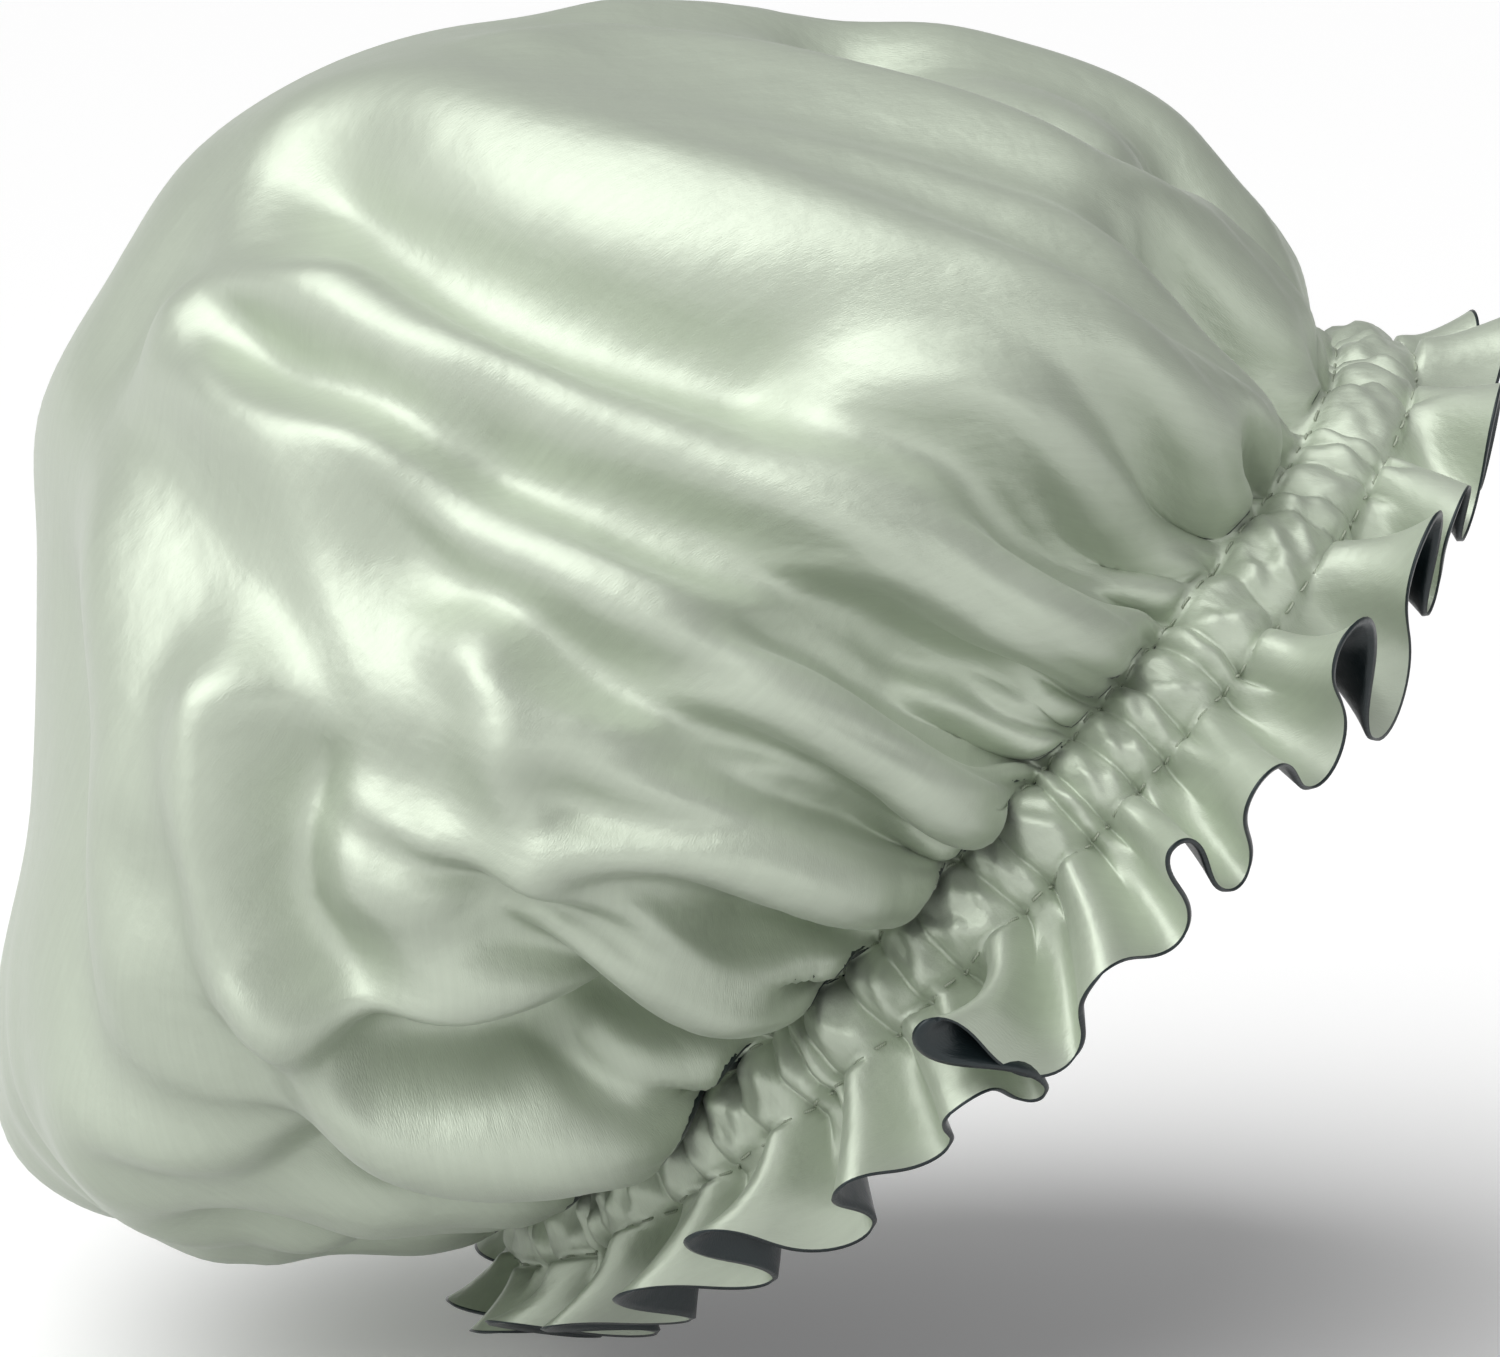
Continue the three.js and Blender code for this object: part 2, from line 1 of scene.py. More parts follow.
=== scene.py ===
"""The looks of a satin hair bonnet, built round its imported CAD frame.

The bonnet is two circles of satin sewn back to back at the hem, gathered by an elastic in a stitched casing,
with a fluted ruffle past the casing. Lengths are metres. Places on the cloth are an angle round the head
opening, 0 at the forehead and minus on the side that faces -Y, and a share of the way along the cloth.
"""

import math

import bpy
import numpy as np
from bpy.props import FloatProperty, FloatVectorProperty, IntProperty, PointerProperty
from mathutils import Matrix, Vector


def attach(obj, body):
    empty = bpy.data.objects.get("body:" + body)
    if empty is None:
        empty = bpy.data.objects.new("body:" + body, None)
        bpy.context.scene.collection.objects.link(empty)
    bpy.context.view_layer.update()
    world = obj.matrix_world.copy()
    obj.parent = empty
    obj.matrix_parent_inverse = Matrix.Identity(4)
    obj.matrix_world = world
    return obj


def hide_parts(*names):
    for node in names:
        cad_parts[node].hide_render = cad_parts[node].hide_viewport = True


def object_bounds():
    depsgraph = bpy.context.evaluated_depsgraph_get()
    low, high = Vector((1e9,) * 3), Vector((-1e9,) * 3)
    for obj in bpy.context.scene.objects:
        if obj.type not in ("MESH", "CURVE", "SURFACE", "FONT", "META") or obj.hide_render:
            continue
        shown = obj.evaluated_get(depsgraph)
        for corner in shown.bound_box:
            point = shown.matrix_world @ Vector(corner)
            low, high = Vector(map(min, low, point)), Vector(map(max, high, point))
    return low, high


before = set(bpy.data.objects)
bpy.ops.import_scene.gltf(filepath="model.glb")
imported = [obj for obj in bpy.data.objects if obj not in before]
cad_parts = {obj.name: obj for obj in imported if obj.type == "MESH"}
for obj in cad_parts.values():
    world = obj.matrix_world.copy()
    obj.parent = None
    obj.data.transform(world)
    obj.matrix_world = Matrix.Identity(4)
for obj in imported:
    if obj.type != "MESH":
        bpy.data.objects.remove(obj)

bl_info = {
    "name": "Satin hair bonnet",
    "version": (1, 0, 0),
    "blender": (4, 5, 0),
    "location": "View3D > Sidebar > Bonnet",
    "description": "Makes the satin, the stitches and the finish of a gathered hair bonnet",
    "category": "Add Mesh",
}

CAD_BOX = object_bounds()
TURN = 2 * math.pi
MM = 0.001

# Crest of each flute of the ruffle, from the nape round the side that faces -Y to the forehead and back:
# [degrees, swing share, outward lean at the hem in degrees before LEAN_SHARE, skew at the hem in degrees].
FLUTES = np.array([
    [-176, 1.00, 6, 3], [-162, 1.20, -4, 2], [-149, 0.85, 10, -4], [-137, 1.25, -2, -6],
    [-127, 0.80, 6, -4], [-117, 1.20, 20, -3], [-108, 0.90, -4, 0], [-100, 0.75, -10, 2],
    [-90, 1.36, 40, -4], [-82, 0.70, -8, -1], [-75, 1.15, 18, 2], [-66, 0.85, 0, 1],
    [-56, 1.25, 8, 3], [-44, 1.12, 2, 4], [-31, 0.90, -6, -3], [-17, 1.05, -2, -4],
    [-3, 1.15, -12, 3], [12, 0.95, 0, 0], [27, 1.05, 6, 2], [42, 1.00, 14, -2],
    [57, 1.05, 4, 1], [72, 1.00, 16, 2], [87, 1.10, 6, -2], [102, 0.95, 12, 1],
    [117, 1.10, 4, 3], [132, 0.95, 8, -1], [149, 1.05, 6, 2], [167, 0.95, 2, 0],
])
FLUTE_COUNT = len(FLUTES)

# The bag's outline on the plane of symmetry: [share of the way to the pole, share of the opening's radius,
# share of the reach, share of the depth], and half its width: [share of the way, share of the radius, share
# of the half width].
FRONT_OUTLINE = np.array([
    [0, 1, 0, 0], [0.1, 0, 0.945, 0.143], [0.2, 0, 1.005, 0.295], [0.32, 0, 0.905, 0.465],
    [0.46, 0, 0.72, 0.63], [0.6, 0, 0.512, 0.785], [0.71, 0, 0.333, 0.912], [0.84, 0, 0.052, 1.004],
    [0.9, 0, -0.09, 1.022], [1, 0, -0.311, 0.992],
])
BACK_OUTLINE = np.array([
    [0, 1, 0, 0], [0.06, 0, 0.732, 0.046], [0.13, 0, 0.797, 0.108], [0.22, 0, 0.896, 0.202],
    [0.33, 0, 1.012, 0.337], [0.41, 0, 1.006, 0.462], [0.49, 0, 0.927, 0.552], [0.61, 0, 0.756, 0.655],
    [0.7, 0, 0.653, 0.736], [0.81, 0, 0.522, 0.85], [0.91, 0, 0.397, 0.957], [1, 0, 0.224, 0.992],
])
SIDE_OUTLINE = np.array([
    [0, 1, 0], [0.1, 0, 0.914], [0.25, 0, 1], [0.4, 0, 0.971], [0.55, 0, 0.843], [0.7, 0, 0.643],
    [0.85, 0, 0.357], [1, 0, 0],
])

# Main folds of the crown on the side that the photo shows: (half width, rise, steepness to one side, path).
# Width and rise are shares of the fold width and height, and a valley's rise is minus. The path is where
# its crest or its floor lies in the photo, in pixels of PHOTO_SIZE.
PHOTO_FOLDS = [
    (0.8, 0.3, 0.2, [(520, 48), (600, 44), (720, 58), (850, 85), (1000, 130), (1130, 190), (1250, 290),
                     (1300, 390)]),
    (0.8, -0.9, 0, [(850, 50), (950, 75), (1050, 110), (1150, 165), (1230, 235), (1275, 320)]),
    (1.5, 0.5, 0.2, [(287, 139), (350, 115), (480, 130), (620, 170), (750, 210), (850, 250), (1000, 305),
                     (1100, 365), (1200, 430), (1250, 475)]),
    (1.0, -1.5, 0, [(315, 165), (380, 215), (440, 262), (520, 300), (620, 330), (740, 365)]),
    (0.9, -0.5, 0, [(740, 365), (860, 420), (960, 480), (1060, 540), (1150, 580)]),
    (1.0, 1.0, 0.4, [(345, 287), (430, 335), (526, 392), (598, 430), (694, 474), (750, 502), (850, 545),
                     (950, 600), (1050, 650), (1130, 690)]),
    (1.3, -1.9, 0, [(500, 455), (600, 485), (700, 525), (780, 565), (870, 615), (950, 655)]),
    (0.6, 0.7, 0, [(205, 330), (225, 302), (285, 292), (345, 290)]),
    (0.8, 1.0, 0.3, [(205, 330), (222, 375), (275, 417), (350, 442), (450, 485), (560, 545), (650, 600),
                     (760, 665), (850, 725), (950, 775), (1000, 800)]),
    (0.7, -1.0, 0, [(215, 335), (290, 365), (380, 395), (470, 430)]),
    (0.9, -1.2, 0, [(400, 540), (450, 580), (530, 640), (620, 695), (740, 745), (860, 790)]),
    (0.8, 0.9, 0.2, [(480, 650), (530, 690), (600, 740), (700, 775), (830, 805), (930, 845)]),
    (0.6, 0.9, 0, [(478, 650), (487, 710), (502, 770), (512, 800)]),
    (0.6, -1.0, 0, [(545, 800), (640, 815), (760, 835), (860, 870)]),
    (0.8, 0.9, -0.2, [(512, 865), (560, 840), (640, 840), (700, 852), (850, 900), (940, 930)]),
    (0.7, 0.5, 0.2, [(512, 865), (560, 925), (700, 972), (830, 992)]),
    (0.7, -0.5, 0, [(590, 885), (700, 915), (820, 945)]),
    (0.7, -1.3, 0, [(470, 880), (500, 940), (600, 985), (700, 1010), (760, 1016)]),
    (0.6, 0.35, 0, [(440, 925), (490, 945), (560, 965), (650, 1000), (720, 1020)]),
    (1.3, -0.7, 0, [(400, 540), (430, 640), (440, 740), (430, 840)]),
    (0.8, 1.0, 0.2, [(230, 720), (220, 800), (215, 900), (240, 955), (290, 1025), (380, 1085), (500, 1112),
                     (600, 1107), (720, 1090)]),
    (0.7, -1.5, 0, [(275, 780), (262, 880), (280, 945), (325, 1000), (400, 1060), (500, 1080), (600, 1060),
                    (700, 1040)]),
    (0.7, 0.4, 0, [(330, 1035), (400, 1025), (500, 1000), (600, 975), (640, 985)]),
    (1.0, -1.0, 0, [(160, 900), (180, 970), (230, 1050), (310, 1115), (420, 1150), (520, 1155)]),
    (0.8, 0.5, 0, [(90, 1150), (150, 1200), (250, 1215), (350, 1200), (400, 1165)]),
    (0.6, 0.4, 0, [(80, 1120), (150, 1140), (280, 1150), (400, 1150)]),
    (1.4, 0.5, 0, [(120, 560), (130, 720), (155, 900), (220, 1010)]),
    (1.2, -0.5, 0, [(60, 620), (75, 760), (60, 880), (60, 1000)]),
    (1.2, -0.4, 0, [(190, 440), (230, 540), (280, 640), (330, 740), (350, 840)]),
    (0.9, -0.5, 0, [(130, 330), (190, 240), (230, 180)]),
]

# The same for the other side, the path in (degrees from the forehead, share of the way to the pole).
FAR_FOLDS = [
    (1.0, 0.5, 0, [(14, 0.03), (14, 0.2), (12, 0.4), (8, 0.6)]),
    (0.9, -0.8, 0, [(23, 0.1), (24, 0.25), (22, 0.45)]),
    (1.0, 0.6, -0.3, [(31, 0.02), (34, 0.2), (34, 0.42), (30, 0.6)]),
    (0.9, -1.0, 0, [(44, 0.1), (46, 0.34), (47, 0.52)]),
    (1.0, 0.7, -0.3, [(54, 0.02), (57, 0.2), (59, 0.42), (62, 0.62)]),
    (0.8, -0.9, 0, [(64, 0.1), (67, 0.25), (68, 0.45)]),
    (0.9, 0.6, -0.3, [(73, 0.02), (75, 0.2), (74, 0.38), (80, 0.58)]),
    (0.8, -0.8, 0, [(81, 0.1), (83, 0.25), (82, 0.4)]),
    (1.0, 0.6, 0, [(88, 0.02), (90, 0.16), (89, 0.32), (85, 0.44)]),
    (0.9, -0.9, 0, [(95, 0.1), (97, 0.25), (96, 0.45)]),
    (1.0, 0.6, 0.2, [(101, 0.02), (104, 0.18), (103, 0.34), (111, 0.52)]),
    (0.9, -0.8, 0, [(111, 0.1), (113, 0.25), (112, 0.4)]),
    (1.0, 0.7, 0.2, [(119, 0.03), (122, 0.2), (118, 0.36), (114, 0.5), (109, 0.64)]),
    (0.9, -0.8, 0, [(128, 0.08), (131, 0.22), (132, 0.4)]),
    (0.9, 0.5, 0, [(135, 0.04), (139, 0.2), (146, 0.36)]),
    (1.1, 0.5, 0, [(153, 0.04), (157, 0.2), (158, 0.38), (150, 0.54)]),
    (0.9, -0.6, 0, [(165, 0.08), (168, 0.25)]),
    (1.0, 0.4, 0, [(173, 0.08), (176, 0.18), (178, 0.34)]),
    (0.9, 0.4, 0, [(-168, 0.08), (-170, 0.2), (-172, 0.38)]),
]

# Rings of the casing and of the ruffle, columns that each flute has there, and the sides of a stitch.
CASING_RINGS = 13
RUFFLE_RINGS = 17
FLUTE_COLUMNS = 52
STITCH_SIDES = 6

# The crown's rings lie closer together beside the stitches. From one share of the way to the pole on, the
# columns are twice as broad: that share, how fast the rings part before it, and the rings before and after.
COARSE_FROM = 0.37
RING_GROWTH = 1.15
LOW_RINGS = 47
HIGH_RINGS = 54

# The part of the hem that closes the turning gap, in shares of the way from the nape, and its stitches.
TURNING_GAP_SPAN = (0.73, 0.82)
TURNING_GAP_STITCHES = 22

# The photo's view, which the camera repeats.
PHOTO_SIZE = (1500, 1357)
PHOTO_TARGET = (-0.0346, 0, 0.0169)
PHOTO_DISTANCE = 1.2
PHOTO_ELEVATION = math.radians(9)
PHOTO_LENS = 149.76
SENSOR_WIDTH = 36
# The grid on the bag that is searched for what the photo shows: first, end and step of its angles in
# degrees, and of its shares of the way to the pole.
SEEN_ANGLES = (-180, 30, 0.35)
SEEN_SHARES = (0, 1, 0.0035)

# Shares of the way over which the bag's further swells grow from the stitches, and fade before the pole.
SWELL_ENDS = (0.12, 0.4)

# Points along a fold's path, half widths from it past which the fold is left out, and the share of its drop
# that a valley keeps.
FOLD_POINTS = 49
FOLD_CUT = 4
VALLEY_DEPTH = 0.85

# The finest gathers are puffs of uneven breadth: how many there are round the opening, and the seed of
# their breadths.
PUFFS = 68
PUFF_SEED = 11

# Shares of the way over which directions on the crown turn from the casing's into its own: for the outer
# satin, and for the lining.
RIM_REACH = 0.03
LINING_RIM_REACH = 0.13

# Share of the way over which the main folds set in.
FOLDS_FROM = 0.06
# Pleats that run up from the stitches: (pleats to a flute, seed of their wander, rise in puff heights,
# share where they are highest).
PLEATS = [(2, 21, 0.7, 0.04), (1, 25, 0.9, 0.085)]

# The crumple of the satin over the elastic: (how it runs askew, seed, waves).
CRUMPLES = [(0.5, 41, 30), (-0.7, 42, 24)]

# Degrees that the cloth leans out from the opening's axis: at the side, and what the forehead and nape add.
CASING_FLARE = (20, 18, 36)
RUFFLE_FLARE = (34, 5, 18)
# Degrees by which the ruffle at the sides hangs towards the nape at its hem.
HANG = 3.5
# Degrees that a flute's path swings to each side at the stitches, and what it gains by the hem.
FLUTE_SWING = (24, 68)
# How much of a flute's lean it takes, and how much shorter the ruffle is towards both ends and at the nape.
LEAN_SHARE = 0.75
SHORTER_ENDS = 0.30
SHORTER_NAPE = 0.22

# The cloth solver's links: (rings apart, columns apart, stiffness, and where it only holds off doubling up,
# the least share of the flat length that it leaves).
CLOTH_LINKS = [
    (1, 0, 0.22, 0), (0, 1, 0.22, 0), (1, 1, 0.05, 0), (1, -1, 0.05, 0),
    (2, 0, 0.08, 0.97), (0, 2, 0.08, 0.97), (4, 0, 0.05, 0.95), (0, 4, 0.05, 0.9),
]
TARGET_PULL = 0.007
# Its runs, coarse to fine: (each how many rings and columns of the cloth it takes, the most fullness that
# it adds as a share, the share of the way to the pole where that ends, rounds).
SOLVER_LEVELS = [(4, 0.22, 0.6, 160), (2, 0.2, 0.3, 70)]
# Share of the way over which what the solver moves sets in.
SOLVER_FROM = 0.055
# Rounds in which what it moved is averaged, and then the whole cloth. That sets in between two shares.
MOVED_ROUNDS = 26
CLOTH_ROUNDS = 3
CALM_SHARES = (0.05, 0.3)

# The lining: rounds in which the normals of each block of rings are averaged round the opening, rounds for
# those that its slack follows, and the rings over which the slack sets in.
NORMAL_ROUNDS = (1, 2, 10)
SLACK_ROUNDS = 6
SLACK_RINGS = 22

# The stage: how far the floor lies under the bonnet, its half width, and the backdrop's sides.
FLOOR_DROP = 1.5 * MM
STAGE_SIZE = 20
BACKDROP_SIDES = 64
NO_TRIANGLES = np.empty((0, 3))
# The lamps: (name, place, width, height, power, aim). The sun's place only gives its direction.
SUN_PLACE = (-0.55, -0.5, 1.0)
LAMPS = [
    ("key", (-0.9, -0.9, 1.0), 1.8, 1.2, 6, (-0.06, 0, 0.04)),
    ("low", (0.5, -1.3, 0.2), 1.0, 0.3, 1.5, (-0.03, 0, 0)),
]


def length_of(name, description, default):
    """A property that holds a length."""
    return FloatProperty(name=name, description=description, default=default, unit="LENGTH")


def colour_of(name, description, default):
    """A property that holds a colour."""
    return FloatVectorProperty(name=name, description=description, default=default, subtype="COLOR", size=3)


class BonnetShape(bpy.types.PropertyGroup):
    """Sizes of the bonnet as it is worn"""

    opening_radius: length_of("Opening radius", "Radius of the gathered ring", 0.110)
    crown_depth: length_of("Crown depth", "From the opening to the farthest cloth", 0.179)
    front_reach: length_of("Front reach", "From the axis to the forehead side", 0.115)
    back_reach: length_of("Back reach", "From the axis to the sagging nape side", 0.168)
    half_width: length_of("Half width", "From the axis to either side", 0.137)
    near_swell: length_of("Near swell", "How much wider the side that faces -Y is", 0.006)
    shoulder: length_of("Shoulder", "Swell on either side of the forehead", 0.0065)
    casing: length_of("Casing height", "Between the two rows of stitches", 0.015)
    ruffle: length_of("Ruffle length", "From the lower row of stitches to the hem", 0.022)
    cloth_radius: length_of("Cloth radius", "Radius of each flat circle of satin", 0.325)
    fold_width: length_of("Fold half width", "Half of what a main fold spans", 0.0145)
    fold_height: length_of("Fold height", "Rise of the highest main folds", 0.0140)
    pucker: length_of("Puff height", "Of the gathers' puffs at the rows", 0.0060)
    casing_rise: length_of("Casing rise", "Of the satin over the elastic", 0.0015)
    layer_gap: length_of("Layer gap", "From the outer satin to the lining", 0.0009)
    hem_roll: length_of("Hem roll", "Of the lining past the outer satin at the hem", 0.0006)
    lining_slack: length_of("Lining slack", "What the layer gap gains in the crown", 0.0016)
    thread_radius: length_of("Thread radius", "Of the sewing thread", 0.00027)
    tilt: FloatProperty(name="Opening tilt", description="Of the opening's plane from level",
                        default=math.radians(46), subtype="ANGLE")
    stitches: IntProperty(name="Stitches in a row", description="Stitches round each row", default=196)


class BonnetColours(bpy.types.PropertyGroup):
    """Colours of the bonnet's cloth and thread"""

    satin: colour_of("Satin", "Colour of the outer satin", (0.53, 0.59, 0.485))
    lining: colour_of("Lining", "Colour of the lining satin", (0.012, 0.022, 0.025))
    thread: colour_of("Thread", "Colour of the stitches", (0.42, 0.47, 0.37))
    dark_thread: colour_of("Dark thread", "Colour of the hem's thread", (0.016, 0.025, 0.028))
    elastic: colour_of("Elastic", "Colour of the elastic", (0.80, 0.79, 0.76))
    floor: colour_of("Floor", "Colour of the floor", (0.95, 0.95, 0.95))


def unit(v):
    """Vectors cut or stretched to a length of 1."""
    return v / np.maximum(np.linalg.norm(v, axis=-1, keepdims=True), 1e-12)


def eased(s):
    """0 to 1 with level ends: three times the square less twice the cube."""
    return s * s * (3 - 2 * s)


def humped(share, top):
    """A hump that rises from 0 to 1 at its top and dies away: the share in tops, times e to 1 less that."""
    return share / top * np.exp(1 - share / top)


def smooth_rows(table, x):
    """Values at x of a table of rows [x, a, b, ...]: a cubic through its rows, its slope at a row the mean
    of those on both sides."""
    rows_x, rows = table[:, 0], table[:, 1:]
    slopes = np.gradient(rows, rows_x, axis=0)
    i = np.clip(np.searchsorted(rows_x, x, side="right") - 1, 0, len(rows_x) - 2)
    step = (rows_x[i + 1] - rows_x[i])[..., None]
    s = ((x - rows_x[i])[..., None]) / step
    ease = eased(s)
    bend = s * (1 - s)
    return (1 - ease) * rows[i] + ease * rows[i + 1] + step * bend * ((1 - s) * slopes[i] - s * slopes[i + 1])


def flute_value(column, number):
    """A column of FLUTES at a flute number, eased from crest to crest, round and round the opening. The
    first column is an angle, which goes on evenly and past a full turn."""
    whole = np.floor(number).astype(int)
    ease = number - whole
    here = FLUTES[whole % FLUTE_COUNT, column]
    there = FLUTES[(whole + 1) % FLUTE_COUNT, column]
    if column:
        return here + (there - here) * eased(ease)
    there = np.where((whole + 1) % FLUTE_COUNT == 0, there + 360, there)
    return np.radians(here + (there - here) * ease + 360 * (whole // FLUTE_COUNT))


def bag(shape, angle, share):
    """The smooth bag: at each share of the way to the pole, an ellipse between the front and back outlines.
    It swells further by the square of the sine on the side that faces -Y, and on either side of the
    forehead by the square of the sine of twice the angle."""
    front = smooth_rows(FRONT_OUTLINE, share)
    back = smooth_rows(BACK_OUTLINE, share)
    side = smooth_rows(SIDE_OUTLINE, share)
    ahead = front[..., 0] * shape.opening_radius + front[..., 1] * shape.front_reach
    behind = -(back[..., 0] * shape.opening_radius + back[..., 1] * shape.back_reach)
    half = side[..., 0] * shape.opening_radius + side[..., 1] * shape.half_width
    c = np.cos(angle)
    x = (ahead + behind) / 2 + (ahead - behind) / 2 * c
    z = ((front[..., 2] + back[..., 2]) / 2 + (front[..., 2] - back[..., 2]) / 2 * c) * shape.crown_depth
    grow, fade = SWELL_ENDS
    rise = eased(np.clip(share / grow, 0, 1) * np.clip((1 - share) / fade, 0, 1))
    y = half * np.sin(angle) - shape.near_swell * rise * np.minimum(np.sin(angle), 0) ** 2
    shoulder = shape.shoulder * rise * np.sin(2 * angle) ** 2 * (1 + c) / 2
    return np.stack([x + shoulder * c, y + shoulder * np.sin(angle), z + shoulder * share], -1)


def bag_normal(shape, angle, share):
    """The bag's outward unit normal, from the cross product of two short steps on it."""
    step = 0.004
    level = np.clip(share, 0, 1 - 2 * step)
    along = bag(shape, angle, level + step) - bag(shape, angle, np.maximum(level - step, 0))
    around = bag(shape, angle + step, level) - bag(shape, angle - step, level)
    return unit(np.cross(around, along))


def tilt_back(shape, points):
    """Turns points from the opening's own frame to the frame of the bonnet as worn."""
    c, s = math.cos(shape.tilt), math.sin(shape.tilt)
    x, y, z = np.moveaxis(points, -1, 0)
    return np.stack([x * c - z * s, y, x * s + z * c], -1)


def photo_axes():
    """The camera's place and the directions in which it looks, its right and its up."""
    c, s = math.cos(PHOTO_ELEVATION), math.sin(PHOTO_ELEVATION)
    ahead = np.array([0, c, -s])
    return np.array(PHOTO_TARGET) - ahead * PHOTO_DISTANCE, ahead, np.array([1, 0, 0]), np.array([0, s, c])


def seen_places(shape, pixels):
    """The angle and share of the bag's point that the photo shows nearest to each pixel: the best of a fine
    grid of the bag's points that face the camera."""
    angle, share = np.meshgrid(np.radians(np.arange(*SEEN_ANGLES)), np.arange(*SEEN_SHARES))
    angle, share = angle.ravel(), share.ravel()
    eye, ahead, right, up = photo_axes()
    away = tilt_back(shape, bag(shape, angle, share)) - eye
    facing = (tilt_back(shape, bag_normal(shape, angle, share)) * away).sum(1) < 0
    angle, share, away = angle[facing], share[facing], away[facing]
    focal = PHOTO_LENS / SENSOR_WIDTH * PHOTO_SIZE[0] / (away @ ahead)
    x = PHOTO_SIZE[0] / 2 + focal * (away @ right)
    y = PHOTO_SIZE[1] / 2 - focal * (away @ up)
    best = [np.argmin((x - px) ** 2 + (y - py) ** 2) for px, py in pixels]
    return angle[best], share[best]


def fold_paths(shape):
    """Each main fold as its width, rise and steepness, with points on the bag along its path, and at each
    point the ways along the path and across it: a smooth curve through the places that its table gives."""
    pixels = [place for *_, path in PHOTO_FOLDS for place in path]
    seen = np.stack(seen_places(shape, pixels), -1)
    made = []
    start = 0
    for width, rise, steep, path in PHOTO_FOLDS + FAR_FOLDS:
        places = np.array(path, float)
        if start < len(seen):
            places = seen[start:start + len(path)]
            start += len(path)
        else:
            places[:, 0] = np.radians(places[:, 0])
        corners = bag(shape, *places.T)
        normals = bag_normal(shape, *places.T)
        table = np.column_stack([np.linspace(0, 1, len(places)), corners, normals])
        fine = smooth_rows(table, np.linspace(0, 1, FOLD_POINTS))
        at, normal = fine[:, :3], unit(fine[:, 3:])
        along = unit(np.gradient(at, axis=0))
        across = np.cross(normal, along)
        made.append((width * shape.fold_width, rise * shape.fold_height, steep, at, along, across))
    return made


def fold_shift(shape, points, normals):
    """How far the main folds move points along their normals: the rise times a bell of the distance from
    the fold's path: e to minus the power 0.8 of its square in half widths, plus 0.02. Steepness narrows the
    bell on one side of the path and widens it on the other. Where ridges meet, the highest of them counts,
    and so does the deepest of valleys: the cube root of the sum of the cubes of each kind."""
    flat = points.reshape(-1, 3)
    ridges, valleys = np.zeros(len(flat)), np.zeros(len(flat))
    for width, rise, steep, at, along, across in fold_paths(shape):
        low, high = at.min(0) - FOLD_CUT * width, at.max(0) + FOLD_CUT * width
        near = np.flatnonzero(np.all((flat > low) & (flat < high), axis=1))
        p = flat[near]
        square = (p * p).sum(1)[:, None] + (at * at).sum(1)[None] - 2 * p @ at.T
        k = square.argmin(1)
        away = p - at[k]
        ahead = (away * along[k]).sum(1)
        inside = ((k > 0) | (ahead > 0)) & ((k < len(at) - 1) | (ahead < 0))
        away -= (ahead * inside)[:, None] * along[k]
        beside = (away * across[k]).sum(1) / width
        spread = width * (1 - steep * np.tanh(2 * beside))
        kind = ridges if rise > 0 else valleys
        kind[near] += (abs(rise) * np.exp(-(((away * away).sum(1) / spread**2 + 0.02) ** 0.8))) ** 3
    rises = np.cbrt(ridges) - VALLEY_DEPTH * np.cbrt(valleys)
    return normals * rises.reshape(points.shape[:-1])[..., None]


def wander(number, seed, terms=5):
    """A smooth wander round the opening, about -1 to 1: a sum of sines of the flute number."""
    rng = np.random.default_rng(seed)
    total = np.zeros_like(number)
    for wave in rng.integers(2, 4 + 3 * terms, terms):
        total += np.sin(TURN * wave * number / FLUTE_COUNT + rng.uniform(0, TURN))
    return total / terms**0.5


def puffs(number):
    """The finest gathers round the opening, as puffs of uneven breadth with a sharp crease between them:
    how far each place is raised, from 0 in a crease to about a half on a narrow puff and 1 on a broad one,
    and the puff's breadth, 0 to 1. Across a puff it is a power of a half wave of the sine."""
    rng = np.random.default_rng(PUFF_SEED)
    breadths = rng.uniform(0.3, 1, PUFFS) ** 1.5
    edges = np.concatenate([[0], np.cumsum(breadths)])
    edges *= FLUTE_COUNT / edges[-1]
    place = number % FLUTE_COUNT
    i = np.clip(np.searchsorted(edges, place, side="right") - 1, 0, len(breadths) - 1)
    phase = (place - edges[i]) / (edges[i + 1] - edges[i])
    ridge = np.sin(math.pi * np.clip(phase, 0, 1)) ** 0.7
    return ridge * (0.45 + 0.5 * breadths[i]), breadths[i]


def slope(angle, flare):
    """How far the cloth goes out and down for each length of it: the sine and cosine of its lean, which is
    the side's, with powers of 1 plus or minus the angle's cosine added towards the forehead and the
    nape."""
    side, forehead, nape = flare
    lean = side + forehead * ((1 + np.cos(angle)) / 2) ** 12 + nape * ((1 - np.cos(angle)) / 2) ** 3
    return np.sin(np.radians(lean)), np.cos(np.radians(lean))


def ring_place(angle, radius, height):
    """Points on rings round the opening's axis."""
    return np.stack([radius * np.cos(angle), radius * np.sin(angle), height], -1)


def rim_turned(angle, share, normals, reach=RIM_REACH):
    """Outward directions on the crown, turned near the stitches into the casing's own, so that pleats run
    on across the stitches without a step."""
    out, down = slope(angle, CASING_FLARE)
    rim = ring_place(angle, down, out)
    near = np.exp(-share / reach)[..., None]
    return unit(normals * (1 - near) + rim * near)


